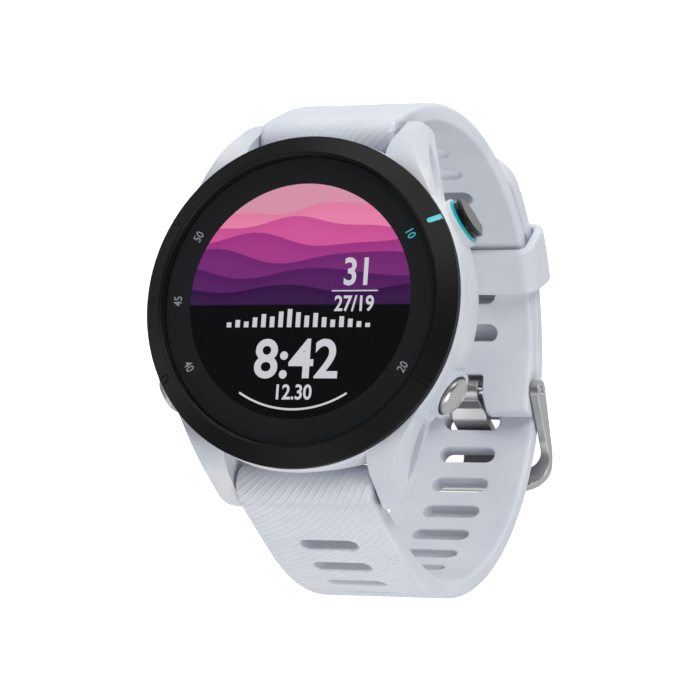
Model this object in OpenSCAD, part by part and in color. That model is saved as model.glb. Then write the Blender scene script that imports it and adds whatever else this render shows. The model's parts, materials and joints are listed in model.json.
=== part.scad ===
// GPS running watch, face up: +Z leaves the display, +Y points to 12 o'clock, +X to 3 o'clock.
// The origin is the centre of the optical sensor's outer face, which rests on the wrist.

/* [Middle case] */
// Outer diameter of the middle case at its widest
case_d = 40.8; // [40:0.1:42]
// Height of the case's lower edge above the sensor face
case_base_z = 1.2; // [1:0.05:1.4]
// Height of the seat that the bezel stands on
bezel_seat_z = 10.0; // [9.9:0.05:10.3]
// Radius of the rounded flank below the buttons' axis
flank_r = 6; // [5.5:0.1:7]
// Diameter of the cavity that holds the movement
cavity_d = 34.4; // [34:0.1:34.8]
// Width of the bottom flange that the cover screws into, in from the cover's edge
flange_w = 3.4; // [3.2:0.05:3.5]
// Height of the seat for the back cover
cover_seat_z = 2.0; // [1.9:0.05:2.1]
// Thickness of the bottom flange
flange_t = 1.4; // [1.2:0.05:1.45]
// Height of the ledge under the main board
board_ledge_z = 7.9; // [7.8:0.05:8]
// Thickness of that ledge
board_ledge_t = 0.5; // [0.4:0.05:0.55]
// How far the ledge stands in from the cavity wall
board_ledge_w = 1.2; // [0.8:0.1:1.3]

/* [Lugs] */
// Clear width between the lugs
lug_gap = 18.3; // [18:0.05:18.6]
// Half width over the lugs where they leave the case
lug_root_x = 15.4; // [15:0.1:15.8]
// Half width over the lugs at their tips
lug_tip_x = 12.0; // [11.8:0.1:12.6]
// Distance from the middle at which the lugs leave the case
lug_root_y = 13.2; // [12.8:0.1:13.6]
// Distance of a lug's top edge from the middle, at the bezel seat
lug_top_y = 18.7; // [18.5:0.1:19]
// Slope of a lug's top edge below horizontal
lug_slope = 55; // [53:0.5:57]
// Distance of a lug's rounded tip centre from the middle
lug_tip_y = 22.4; // [22.2:0.05:22.6]
// Radius of a lug's rounded tip
lug_tip_r = 1.3; // [1.2:0.05:1.4]
// Diameter of the hole for a spring bar's tip
bar_hole_d = 1.1; // [1.06:0.02:1.2]
// Depth of that hole
bar_hole_depth = 1.3; // [1.2:0.05:1.5]
// Radius of the curve where a lug's top turns down
lug_crown_r = 6; // [5:0.25:7]
// Radius of a lug's outer corner, seen from above
lug_corner_r = 2.2; // [1.8:0.1:2.5]
// Height above a lug tip's centre where its upper outer facet starts
lug_facet_rise = 1.2; // [1:0.05:1.4]
// Slope of that facet's lower edge, along the lug's outer side
lug_facet_slope = 33; // [30:0.5:36]
// Lean of that facet from upright
lug_facet_lean = 14; // [10:1:20]
// Drop below the tip's centre at which the lower outer facet starts
lug_under_drop = 1.2; // [1:0.05:1.4]
// Slope of the lower facet's edge
lug_under_slope = 20.5; // [18:0.5:23]
// Lean of the lower facet from upright
lug_under_lean = 50; // [40:1:55]
// Depth of the long scoop in a lug's outer side
scoop_depth = 0.9; // [0.6:0.1:1.1]
// Length of that scoop, point to point
scoop_l = 8.4; // [8:0.1:8.8]
// Width of that scoop at its middle
scoop_w = 2; // [1.6:0.1:2.2]
// Height of the scoop's middle above the spring bar
scoop_rise = 1.6; // [1.4:0.1:1.8]
// Distance of the scoop's middle from the lug's tip
scoop_back = 5.9; // [5.7:0.1:6.1]
// Slope of the scoop
scoop_lean = 19; // [17:0.5:22]

/* [Bezel and glass] */
// Outer diameter of the bezel
bezel_d = 40.2; // [39.9:0.1:40.6]
// Height of the bezel's inner lip
bezel_lip_z = 12.4; // [12.3:0.05:12.6]
// Height of the bezel's outer edge
bezel_edge_z = 11.05; // [10.9:0.05:11.3]
// Width of the chamfer inside the lip
lip_chamfer = 0.35; // [0.25:0.05:0.45]
// Diameter of the glass
lens_d = 35; // [34.8:0.05:35.2]
// Thickness of the glass
lens_t = 0.9; // [0.8:0.05:1]
// Height of the glass's upper face
lens_top_z = 12.05; // [11.95:0.05:12.15]
// Thickness of the adhesive ring under the glass
lens_bond_t = 0.15; // [0.1:0.05:0.2]
// Inner diameter of the bezel's ledge under the glass
bezel_bore_d = 31.8; // [31.6:0.1:32]
// Wall of the spigot that centres the bezel in the case
spigot_t = 0.8; // [0.6:0.05:0.9]
// Width of the start mark inlaid in the bezel
mark_w = 0.65; // [0.5:0.05:0.8]
// Radius at which the start mark begins
mark_r0 = 18.5; // [18.3:0.1:18.8]
// Depth of the start mark
mark_depth = 0.25; // [0.15:0.05:0.35]
// Width of the engraved line round the other buttons' marks
groove_w = 0.14; // [0.1:0.02:0.2]
// Depth of that line
groove_depth = 0.1; // [0.06:0.02:0.16]

/* [Display stack] */
// Diameter of the display panel
panel_d = 30.8; // [30.4:0.1:31]
// Thickness of the display panel
panel_t = 1.7; // [1.6:0.05:1.75]
// Inner diameter of the display carrier
carrier_bore_d = 29; // [28.6:0.1:29.4]
// Height of the display carrier
carrier_t = 0.65; // [0.6:0.05:0.7]
// Thickness of the main board
board_t = 0.6; // [0.5:0.05:0.65]
// Width of the positioning antenna strip
antenna_w = 0.6; // [0.4:0.05:0.7]
// Thickness of the positioning antenna strip
antenna_t = 0.3; // [0.2:0.05:0.4]
// Radius of the antenna strip's middle line
antenna_r = 18.3; // [18.1:0.05:18.5]
// Arc that the antenna strip covers, about 12 o'clock
antenna_arc = 120; // [90:5:140]

/* [Battery, motor and beeper] */
// Length of the battery along X
battery_x = 21.6; // [20:0.1:21.7]
// Length of the battery along Y
battery_y = 18.4; // [17:0.1:18.5]
// Thickness of the battery
battery_t = 3.4; // [3.2:0.05:3.5]
// Diameter of the vibration motor's can
motor_d = 3.4; // [3.2:0.05:3.5]
// Length of the vibration motor's can
motor_l = 7.2; // [6.8:0.1:7.6]
// Distance of the motor's axis from the middle, towards 12 o'clock
motor_y = 11.6; // [11.5:0.05:11.9]
// Radius of the motor's eccentric weight
weight_r = 1.5; // [1.3:0.05:1.6]
// Length of the motor's eccentric weight
weight_l = 2.2; // [2:0.1:2.6]
// Diameter of the motor's shaft
motor_shaft_d = 0.6; // [0.5:0.05:0.7]
// Diameter of the beeper disc
beeper_d = 6.4; // [6:0.1:6.6]
// Thickness of the beeper disc
beeper_t = 0.35; // [0.3:0.05:0.5]

/* [Back] */
// Diameter of the back cover
cover_d = 33.8; // [33.6:0.1:34]
// Height of the back cover's flat rim above the sensor face
cover_rim_z = 0.6; // [0.5:0.05:0.7]
// Diameter of the raised boss round the sensor
boss_d = 20.6; // [20.2:0.1:21]
// How far the boss stays behind the sensor's face
boss_z = 0.12; // [0.08:0.02:0.2]
// Diameter of the sensor window
window_d = 16.8; // [16.4:0.1:17]
// Thickness of the sensor window
window_t = 0.9; // [0.8:0.05:1]
// Diameter of the opening behind the sensor window
window_bore_d = 15.2; // [15:0.1:15.6]
// Thickness of the sensor board
sensor_board_t = 0.6; // [0.5:0.05:0.7]
// Distance of a cover screw's axis from the cover's edge
screw_edge = 1.3; // [1.25:0.05:1.4]
// Diameter of a cover screw's thread
screw_d = 1.0; // [0.9:0.05:1.1]
// Diameter of a cover screw's head
screw_head_d = 2.0; // [1.8:0.05:2.1]
// Height of a cover screw's head
screw_head_t = 0.6; // [0.5:0.05:0.7]
// Width of the back seal
seal_w = 0.5; // [0.4:0.05:0.5]
// Depth of the back seal's groove
seal_t = 0.5; // [0.4:0.05:0.6]
// Distance of the charging port's centre from the cover's edge at 6 o'clock
port_edge = 5.1; // [5.05:0.05:5.15]
// Length of the charging port
port_l = 7.2; // [7:0.1:7.3]
// Width of the charging port
port_w = 2.3; // [2.2:0.05:2.4]
// Depth of the charging port
port_depth = 0.9; // [0.8:0.05:1]
// Pitch of the charging contacts
contact_pitch = 1.6; // [1.5:0.05:1.7]
// Diameter of a charging contact
contact_d = 0.9; // [0.8:0.05:1]
// Number of charging contacts
contact_count = 4; // [3:1:4]

/* [Buttons] */
// Height of the buttons' axis
button_z = 5.8; // [5.7:0.05:5.9]
// Diameter of a button cap
cap_d = 4.7; // [4.6:0.05:4.8]
// How far a cap's outer face stands out of the collar
cap_rise = 0.65; // [0.6:0.05:0.85]
// Height of a cap
cap_t = 1.05; // [1:0.05:1.1]
// Width of the bevel round a cap
cap_bevel = 0.25; // [0.15:0.05:0.35]
// Travel of a button
button_travel = 0.4; // [0.3:0.05:0.4]
// How far the start button's head stands out of the collar
start_rise = 1.3; // [1.25:0.05:1.4]
// Diameter of the start button's wide head
start_head_d = 5.1; // [5:0.05:5.3]
// Thickness of that head
start_head_t = 0.55; // [0.5:0.05:0.6]
// How far the coloured ring stands out of the collar
start_ring_rise = 0.3; // [0.25:0.02:0.32]
// Diameter of the raised collar round a button
collar_d = 6.2; // [6.1:0.05:6.4]
// How far the collar's face stands out of the case's flank
collar_rise = 0.55; // [0.5:0.05:0.6]
// Depth of a button's recess below the collar's face
recess_depth = 1.1; // [1.1:0.05:1.15]
// Gap between a cap and the wall of its recess
cap_gap = 0.25; // [0.2:0.05:0.3]
// Wall of the coloured ring round the start button
start_ring_t = 0.32; // [0.25:0.02:0.36]
// Gap between the start button's cap and its ring
start_ring_gap = 0.08; // [0.06:0.02:0.12]
// Diameter of a button's stem
stem_d = 1.6; // [1.5:0.05:1.7]
// Running clearance of a stem in its bush, on the radius
stem_fit = 0.04; // [0.02:0.01:0.06]
// Wall of a button's bush
bush_t = 0.66; // [0.6:0.02:0.7]
// Diameter at the bottom of a stem's seal groove
groove_d = 1.1; // [1:0.05:1.2]
// Width of a stem's seal
stem_seal_w = 0.6; // [0.5:0.05:0.7]
// Outer diameter of a stem's retaining clip
clip_d = 3.0; // [2.8:0.1:3.2]
// Thickness of a stem's retaining clip
clip_t = 0.25; // [0.2:0.05:0.3]
// Gap between a clip and the cavity wall
clip_gap = 0.1; // [0.05:0.05:0.15]
// Diameter of a stem's inner end, which works the switch
plunger_d = 0.9; // [0.8:0.05:1]
// Width of a switch
switch_w = 3.4; // [3:0.1:3.5]
// Height of a switch
switch_h = 2.8; // [2.6:0.1:2.9]
// Depth of a switch
switch_t = 1.75; // [1.7:0.05:1.8]

/* [Band loop] */
// Distance of a spring bar from the middle
bar_y = 21.3; // [21.2:0.05:21.4]
// Height of a spring bar
bar_z = 3.9; // [3.85:0.05:4]
// Radius of a strap's knuckle round its spring bar
knuckle_r = 2.7; // [2.6:0.05:2.8]
// Running gap between a strap's knuckle and the case
knuckle_gap = 0.35; // [0.25:0.05:0.45]
// Angle at which the straps leave the lugs, from vertical
exit_angle = 25.5; // [24:0.5:27]
// Width of the straps
strap_w = 17.6; // [17.4:0.05:17.7]
// Thickness of the straps
strap_t = 2.4; // [2.2:0.05:2.5]
// Radius of the straps' rounded edges
strap_edge_r = 0.7; // [0.4:0.05:0.9]
// Height of the centre of the loop's closed end
loop_z = -22.5; // [-23.5:0.1:-22]
// Inner radius of the long strap round that centre
long_in_r = 28; // [27.5:0.1:29]
// Gap between the long strap and the short strap under it
lap_gap = 0.3; // [0.25:0.05:0.4]
// Straight length of the long strap below its knuckle
long_straight = 11.2; // [10.9:0.05:11.3]
// Straight length of the short strap below its knuckle
short_straight = 4.5; // [4:0.1:5]
// Where the long strap's tail ends, in degrees from the lowest point towards 12 o'clock
tail_end = 74; // [72:0.5:76]
// Radius of the tail's rounded corners
tail_corner_r = 8; // [6:0.1:8.4]

/* [Strap slots] */
// Length of a slot in the long strap
slot_l = 7.9; // [7.4:0.1:8.2]
// Width of a slot
slot_w = 2.4; // [2.35:0.05:2.5]
// Pitch of the long strap's slots
slot_pitch = 5.06; // [5:0.02:5.1]
// Place of the slot that the tongue goes through, in degrees from the lowest point towards 6 o'clock
tongue_slot_at = 10.3; // [10.1:0.05:10.5]
// Number of slots between that one and the lugs
slots_front = 12; // [8:1:12]
// Number of slots between that one and the tail's tip
slots_tail = 7; // [3:1:7]
// Length of a slot in the short strap
short_slot_l = 7.9; // [7.4:0.1:8.2]
// Place of its last slot, in degrees from the lowest point towards 12 o'clock
short_slot_at = 15.2; // [14.8:0.1:16]
// Pitch of the short strap's slots
short_slot_pitch = 5.42; // [5.2:0.02:5.6]
// Number of slots in the short strap
short_slots = 10; // [7:1:10]

/* [Buckle and keeper] */
// Place of the buckle's pin, in degrees from the lowest point towards 6 o'clock
pin_at = 2.2; // [2:0.1:2.4]
// Diameter of the buckle's pin
pin_d = 1.4; // [1.3:0.05:1.5]
// Running clearance round the pin, on the radius
pin_fit = 0.04; // [0.02:0.01:0.06]
// Radius of the short strap's end round the pin
end_knuckle_r = 1.45; // [1.4:0.05:1.5]
// Where the short strap ends, in degrees from the lowest point towards 6 o'clock
short_end_at = 9.4; // [9:0.1:9.6]
// Width of the notch for the tongue in the short strap's end
notch_w = 4.3; // [4.2:0.05:4.6]
// Radius of the buckle frame's eyes
eye_r = 1.5; // [1.4:0.05:1.6]
// Gap between the straps' edges and the buckle's arms
arm_gap = 0.25; // [0.2:0.05:0.4]
// Thickness of the buckle's arms
arm_t = 1.1; // [1:0.05:1.2]
// Distance of the buckle's outer edge from the pin
frame_reach = 13.2; // [13:0.1:13.4]
// Width of the buckle's outer bar
frame_bar_w = 3.4; // [3.2:0.05:3.6]
// Height of the buckle's crown above the pin
frame_rise = 6.5; // [6.4:0.05:6.6]
// Thickness of the buckle's outer bar
frame_t = 1.5; // [1.4:0.05:1.6]
// Width of the tongue in the notch
tongue_neck_w = 2.9; // [2.7:0.05:3.1]
// Width of the tongue's blade
tongue_w = 4.9; // [4.6:0.05:5.2]
// Thickness of the tongue
tongue_t = 1.0; // [0.9:0.02:1.04]
// Place of the keeper's middle, in degrees from the lowest point towards 12 o'clock
keeper_at = 35.3; // [34:0.1:37]
// Width of the keeper
keeper_w = 7.3; // [6.8:0.1:7.6]
// Thickness of the keeper
keeper_t = 1.3; // [1.1:0.05:1.5]
// Gap between the keeper and the straps
keeper_gap = 0.25; // [0.2:0.05:0.35]
// Radius of the keeper's outer corners
keeper_corner_r = 2; // [1.6:0.1:2.3]

/* [Spring bars] */
// Outer diameter of a spring bar's tube
tube_d = 1.8; // [1.7:0.02:1.9]
// Inner diameter of that tube
tube_bore_d = 1.32; // [1.28:0.02:1.36]
// Running clearance of the sliding tip in the tube, on the radius
tube_fit = 0.03; // [0.02:0.01:0.05]
// Clearance round the tube in a strap's knuckle, on the radius
tube_gap = 0.05; // [0.04:0.01:0.1]
// Distance that the tube stays inside each edge of the strap
tube_inset = 0.2; // [0.15:0.05:0.3]
// Diameter of a bar's tips
tip_d = 1.0; // [0.9:0.02:1.02]
// How far a tip reaches into its lug
tip_reach = 1.05; // [0.9:0.05:1.15]
// Travel of the quick-release tip
release_travel = 1.25; // [1.2:0.05:1.35]
// Distance of the release knob from the middle
knob_x = 6.2; // [6:0.1:6.4]
// Diameter of the release knob's post
post_d = 0.9; // [0.8:0.05:1]
// Diameter of the release knob
knob_d = 1.7; // [1.5:0.05:1.8]
// Height of the release knob
knob_t = 0.6; // [0.5:0.05:0.7]
// Turn of the release knob from straight down
knob_turn = 15; // [10:1:20]
// Diameter of a bar spring's wire
wire_d = 0.18; // [0.14:0.01:0.2]
// Mean diameter of a bar spring
coil_d = 0.9; // [0.84:0.02:0.96]
// Number of turns of a bar spring
coil_turns = 9; // [8:1:10]

/* [Hidden] */
screw_count = 4;
$fn = 64;

case_r = case_d / 2;
cavity_r = cavity_d / 2;
bezel_r = bezel_d / 2;
lens_r = lens_d / 2;
// A cut reaches this far past the face that it opens
over = 1;
// Least gap between pieces that are bonded or dropped in place
seat_gap = 0.05;

// Clock places of the five buttons, in degrees anticlockwise from 3 o'clock
start_at = 30;
back_at = -30;
light_at = 150;
up_at = 180;
down_at = 210;
button_places = [start_at, back_at, light_at, up_at, down_at];

// Display stack, from the ledge upwards
board_top_z = board_ledge_z + board_t;
carrier_top_z = board_top_z + carrier_t;
lens_bottom_z = lens_top_z - lens_t;
lens_seat_z = lens_bottom_z - lens_bond_t;
spigot_r = cavity_r - 2 * seat_gap;
spigot_bottom_z = carrier_top_z + seat_gap;
board_r = cavity_r - 4 * seat_gap;

// Movement
flange_top_z = cover_seat_z + flange_t;
battery_z = flange_top_z + seat_gap;
motor_z = flange_top_z + seat_gap + motor_d / 2;
weight_x = motor_l / 2 + 2 * seat_gap;

// Buttons, measured outwards from the middle
collar_face_r = case_r + collar_rise;
recess_floor_r = collar_face_r - recess_depth;
cap_face_r = collar_face_r + cap_rise;
cap_inner_r = cap_face_r - cap_t;
start_face_r = collar_face_r + start_rise;
clip_outer_r = cavity_r - clip_gap;
clip_inner_r = clip_outer_r - clip_t;
switch_face_r = clip_inner_r - button_travel - seat_gap;
switch_back_r = switch_face_r - switch_t;
plunger_end_r = switch_back_r + button_travel + 3 * seat_gap;
stem_bore_r = stem_d / 2 + stem_fit;
bush_r = stem_bore_r + bush_t;
recess_r = cap_d / 2 + cap_gap;
start_ring_in_r = cap_d / 2 + start_ring_gap;
start_ring_out_r = start_ring_in_r + start_ring_t;
seal_mid_r = (cavity_r + recess_floor_r) / 2;
flange_r = cover_d / 2 - flange_w;
flex_t = 0.2;
stem_tail = 0.3;

// Back
screw_pcr = cover_d / 2 - screw_edge;
port_y = cover_d / 2 - port_edge;
window_seat_r = window_d / 2 + seat_gap;
seal_in_r = flange_r + 2 * seat_gap;
led_t = 0.7;
contact_tab_w = 6.8;

// Loop: outer radii of the closed end, and the arc that joins it to a straight run of length l
long_out_r = long_in_r + strap_t;
short_out_r = long_in_r - lap_gap;
short_in_r = short_out_r - strap_t;
exit_n = [cos(exit_angle), sin(exit_angle)];
exit_d = [sin(exit_angle), -cos(exit_angle)];
function run_start() = [bar_y, bar_z] + knuckle_r * exit_n;
function run_end(l) = run_start() + l * exit_d;
function from_centre(l) = run_end(l) - [0, loop_z];
function flank_radius(l, r) = let (d = from_centre(l)) (d * d - r * r) / (2 * (d * exit_n - r));
function flank_centre(l, r) = run_end(l) - flank_radius(l, r) * exit_n;
function join_angle(l, r) = let (c = flank_centre(l, r)) atan2(-c[0], c[1] - loop_z);

long_flank_r = flank_radius(long_straight, long_out_r);
long_flank_c = flank_centre(long_straight, long_out_r);
long_join = join_angle(long_straight, long_out_r);
short_flank_r = flank_radius(short_straight, short_out_r);
short_flank_c = flank_centre(short_straight, short_out_r);
short_join = join_angle(short_straight, short_out_r);

// How much larger each run of a strap is than the next, and how far it takes that one in
run_step = 0.01;
run_lap = 0.1;
lap_angle = run_lap / long_in_r * 180 / PI;

// Buckle, in the pin's frame: u runs towards the outer bar, v runs out of the loop
pin_r = pin_d / 2;
pin_bore_r = pin_r + pin_fit;
pin_loop_r = short_out_r - end_knuckle_r - seat_gap;
arm_in_x = strap_w / 2 + arm_gap;
arm_out_x = arm_in_x + arm_t;
frame_corner_r = 4.2;
window_corner_r = 2.6;
crown_r = 4.6;
curl_angle = 22;
knuckle_inset = 0.3;
crown_c = [frame_reach - crown_r + 0.3, frame_rise - crown_r];
arm_lean = 125;
notch_depth = 0.7;
tongue_eye_r = eye_r;
tongue_rest_v = frame_rise - notch_depth + seat_gap + tongue_t / 2;
tongue_line = [[0, 0], [2.4, 0.1], [3.55, 0.75], [4.75, 3.75], [6.3, tongue_rest_v - 0.3],
    [7.4, tongue_rest_v], [9.2, tongue_rest_v], [10.6, tongue_rest_v - 0.5]];

// Spring bars
tube_half = strap_w / 2 - tube_inset;
plug_l = 2;
piston_in_x = 5.1;
tip_out_x = lug_gap / 2 + tip_reach;
drawn_tip_x = lug_gap / 2 - 0.1;
tip_slide_r = tube_bore_d / 2 - tube_fit;
slot_room = post_d / 2 + seat_gap;

// ---------- helpers ----------

// Maps the drawing plane to the watch's YZ plane, and heights to X
module loop_plane() rotate([90, 0, 90]) children();

// Turns children, drawn along +Z, to point out of the case at a button's place
module at_button(a) rotate([0, 0, a]) translate([0, 0, button_z]) rotate([0, 90, 0]) children();

// A bar with round ends: l along X, w wide, h high, standing on the ground plane
module stadium(l, w, h) {
    translate([-(l - w) / 2, -w / 2, 0]) cube([l - w, w, h]);
    for (s = [-1, 1]) translate([s * (l - w) / 2, 0, 0]) cylinder(d = w, h = h);
}

// A leaf shape with two points: l long, w wide, h high
module knife(l, w, h) {
    bow = (l * l + w * w) / (4 * w);
    intersection() {
        translate([0, w / 2 - bow, 0]) cylinder(r = bow, h = h);
        translate([0, bow - w / 2, 0]) cylinder(r = bow, h = h);
    }
}

module ring(r_in, r_out, z0, z1) rotate_extrude() translate([r_in, z0]) square([r_out - r_in, z1 - z0]);

// Corner of an outline: points on an arc of radius r about c, from angle a0 to a1
function arc_points(c, r, a0, a1, n = 6) = [for (i = [0:n]) let (a = a0 + (a1 - a0) * i / n)
    c + r * [cos(a), sin(a)]];

// Outline of a rectangle with rounded corners
function round_rect(x0, x1, y0, y1, r) = concat(
    arc_points([x1 - r, y0 + r], r, -90, 0), arc_points([x1 - r, y1 - r], r, 0, 90),
    arc_points([x0 + r, y1 - r], r, 90, 180), arc_points([x0 + r, y0 + r], r, 180, 270));

module disc_box(x, y, z0, z1) translate([-x / 2, -y / 2, z0]) cube([x, y, z1 - z0]);

// ---------- middle case ----------

flank_sweep = asin((button_z - case_base_z) / flank_r);
case_outline = concat([[0, case_base_z]],
    arc_points([case_r - flank_r, button_z], flank_r, -flank_sweep, 0, 10),
    [[case_r - 0.15, bezel_seat_z - 0.8], [bezel_r - 0.1, bezel_seat_z], [0, bezel_seat_z]]);
cover_open_r = cover_d / 2 + 2 * seat_gap;
facet_run = 16;
cavity_outline = [[0, 0], [cover_open_r, 0], [cover_open_r, cover_seat_z],
    [flange_r, cover_seat_z], [flange_r, flange_top_z], [cavity_r, flange_top_z],
    [cavity_r, board_ledge_z - board_ledge_t], [cavity_r - board_ledge_w, board_ledge_z - board_ledge_t],
    [cavity_r - board_ledge_w, board_ledge_z], [cavity_r, board_ledge_z],
    [cavity_r, bezel_seat_z + over], [0, bezel_seat_z + over]];

// Angle of a lug's outer side from the Y axis
lug_taper = atan((lug_root_x - lug_tip_x) / (lug_tip_y - lug_root_y));
lug_top_n = [sin(lug_slope), cos(lug_slope)];
lug_tip_z = bezel_seat_z - lug_tip_r * lug_top_n[1]
    - (lug_tip_y + lug_tip_r * lug_top_n[0] - lug_top_y) * tan(lug_slope);

lug_end_y = lug_tip_y + lug_tip_r;
// Centre of a lug's outer corner: its radius in from the outer side and from the end
lug_corner_c = [(lug_tip_x * cos(lug_taper) + lug_tip_y * sin(lug_taper) - lug_corner_r
    - (lug_end_y - lug_corner_r) * sin(lug_taper)) / cos(lug_taper), lug_end_y - lug_corner_r];

module lug_side() {
    inner_y = lug_root_y - 2;
    crown_c = [lug_top_y - lug_crown_r * tan(lug_slope / 2), bezel_seat_z - lug_crown_r];
    polygon(concat([[inner_y, bezel_seat_z]], arc_points(crown_c, lug_crown_r, 90, 90 - lug_slope, 10),
        [[lug_tip_y, lug_tip_z] + lug_tip_r * lug_top_n, [lug_tip_y, lug_tip_z],
        [lug_tip_y, lug_tip_z - lug_tip_r], [inner_y, lug_tip_z - lug_tip_r]]));
    translate([lug_tip_y, lug_tip_z]) circle(lug_tip_r);
}

// Children stand on a lug's outer side: +X points out of it, +Y along it towards the tip
module on_flank(z) translate([lug_tip_x, lug_tip_y, z]) rotate([0, 0, lug_taper]) children();

module lug() {
    difference() {
        intersection() {
            loop_plane() linear_extrude(lug_root_x + over) lug_side();
            linear_extrude(bezel_seat_z + over) polygon(concat([[lug_gap / 2, lug_root_y - 2],
                [lug_root_x + 2 * tan(lug_taper), lug_root_y - 2]],
                arc_points(lug_corner_c, lug_corner_r, lug_taper, 90, 8), [[lug_gap / 2, lug_end_y]]));
        }
        // facets along the upper and the lower outer edge
        on_flank(lug_tip_z + lug_facet_rise) rotate([-lug_facet_slope, 0, 0])
            rotate([0, -lug_facet_lean, 0]) translate([0, -facet_run, 0]) cube([5, facet_run + 4, 8]);
        on_flank(lug_tip_z - lug_under_drop) rotate([-lug_under_slope, 0, 0])
            rotate([0, lug_under_lean, 0]) translate([0, -facet_run, -8]) cube([8, facet_run + 4, 8]);
        // long scoop in the outer side
        on_flank(bar_z + scoop_rise) translate([0, -scoop_back, 0]) rotate([-scoop_lean, 0, 0])
            rotate([0, 90, 0]) rotate([0, 0, 90]) translate([0, 0, -scoop_depth]) knife(scoop_l, scoop_w, 3);
        translate([lug_gap / 2 - over, bar_y, bar_z]) rotate([0, 90, 0])
            cylinder(d = bar_hole_d, h = bar_hole_depth + over);
    }
}

module strap_recess() {
    room = knuckle_r + knuckle_gap;
    loop_plane() translate([0, 0, -lug_gap / 2]) linear_extrude(lug_gap) {
        translate([bar_y, bar_z]) circle(room);
        polygon([[bar_y - room, bar_z - 5], [bar_y + 5, bar_z - 5], [bar_y + 5, bar_z + 4.6],
            [bar_y - 1.1, bar_z + 4.6], [bar_y - room, bar_z + 1.2]]);
    }
}

module button_recess(a) at_button(a) {
    translate([0, 0, recess_floor_r]) cylinder(r = (a == start_at) ? start_ring_out_r : recess_r, h = 3);
    translate([0, 0, cavity_r - over]) cylinder(r = bush_r, h = recess_floor_r - cavity_r + 2 * over);
}

module case_body() color("gainsboro") {
    difference() {
        union() {
            rotate_extrude($fn = 128) polygon(case_outline);
            for (my = [0, 1], mx = [0, 1]) mirror([0, my, 0]) mirror([mx, 0, 0]) lug();
            for (a = button_places) at_button(a) translate([0, 0, cavity_r + 1])
                cylinder(d = collar_d, h = collar_face_r - cavity_r - 1);
        }
        rotate_extrude($fn = 128) polygon(cavity_outline);
        for (my = [0, 1]) mirror([0, my, 0]) strap_recess();
        for (a = button_places) button_recess(a);
        for (i = [0:screw_count - 1]) rotate([0, 0, 45 + i * 360 / screw_count])
            translate([screw_pcr, 0, cover_seat_z - over])
                cylinder(d = screw_d + 0.04, h = flange_t + 2 * over);
        rotate([0, 0, 90 - antenna_arc / 2]) rotate_extrude(angle = antenna_arc)
            translate([antenna_r - antenna_w / 2, bezel_seat_z - antenna_t]) square([antenna_w, over]);
    }
    // shelf that carries the vibration motor
    translate([-3, motor_y - 1, cover_seat_z + 0.2]) cube([6, flange_r - motor_y + 1.5, flange_t - 0.2]);
}

// ---------- bezel and glass ----------

bezel_ledge_r = bezel_bore_d / 2;
bezel_wall_r = lens_r + seat_gap;
function bezel_outline(lift) = [[bezel_ledge_r, lens_seat_z + lift], [bezel_ledge_r, bezel_seat_z + lift],
    [spigot_r - spigot_t, bezel_seat_z + lift], [spigot_r - spigot_t, spigot_bottom_z + lift],
    [spigot_r, spigot_bottom_z + lift], [spigot_r, bezel_seat_z + lift], [bezel_r, bezel_seat_z + lift],
    [bezel_r, bezel_edge_z - 0.1 + lift], [bezel_r - 0.12, bezel_edge_z + lift],
    [bezel_wall_r + lip_chamfer, bezel_lip_z + lift], [bezel_wall_r, bezel_lip_z - lip_chamfer + lift],
    [bezel_wall_r, lens_seat_z + lift]];

module bezel_solid(lift = 0) rotate_extrude($fn = 128) polygon(bezel_outline(lift));

// Plan outline of the mark beside a button, w wide, standing well above and below the bezel
module mark_prism(a, w) rotate([0, 0, a]) translate([mark_r0, 0, bezel_edge_z - 1]) {
    translate([w / 2, 0, 0]) cylinder(d = w, h = 3);
    translate([w / 2, -w / 2, 0]) cube([3, w, 3]);
}

// Skin of the bezel's slope, depth thick
module slope_skin(depth) rotate_extrude($fn = 128) polygon([[bezel_wall_r + lip_chamfer, bezel_lip_z + 0.5],
    [bezel_r + 0.5, bezel_edge_z + 0.7], [bezel_r + 0.5, bezel_edge_z - depth - 0.3],
    [bezel_r - 0.12, bezel_edge_z - depth], [bezel_wall_r + lip_chamfer, bezel_lip_z - depth]]);

module bezel() color("dimgray") difference() {
    bezel_solid();
    intersection() {
        mark_prism(start_at, mark_w);
        slope_skin(mark_depth);
    }
    for (a = button_places) if (a != start_at) intersection() {
        slope_skin(groove_depth);
        difference() {
            mark_prism(a, mark_w + 2 * groove_w);
            translate([groove_w * cos(a), groove_w * sin(a), 0]) mark_prism(a, mark_w);
        }
    }
}

module start_mark() color("turquoise") intersection() {
    bezel_solid();
    mark_prism(start_at, mark_w);
    slope_skin(mark_depth);
}

module lens() color("black") translate([0, 0, lens_bottom_z]) {
    cylinder(r = lens_r, h = lens_t - 0.12, $fn = 128);
    translate([0, 0, lens_t - 0.12]) cylinder(r1 = lens_r, r2 = lens_r - 0.12, h = 0.12, $fn = 128);
}

module lens_bond() color("darkslategray")
    ring(bezel_ledge_r + 0.1, lens_r - 0.1, lens_seat_z, lens_bottom_z);

// ---------- display stack ----------

module display_panel() color("indigo") translate([0, 0, carrier_top_z]) {
    cylinder(d = panel_d, h = panel_t, $fn = 96);
}

module display_carrier() color("slategray") ring(carrier_bore_d / 2, board_r, board_top_z, carrier_top_z);

module gps_antenna() color("goldenrod") rotate([0, 0, 92 - antenna_arc / 2])
    rotate_extrude(angle = antenna_arc - 4) translate([antenna_r - antenna_w / 2 + seat_gap,
    bezel_seat_z - antenna_t]) square([antenna_w - 2 * seat_gap, antenna_t - 0.02]);

module main_board() color("darkgreen") translate([0, 0, board_ledge_z])
    cylinder(r = board_r, h = board_t, $fn = 96);

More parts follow.
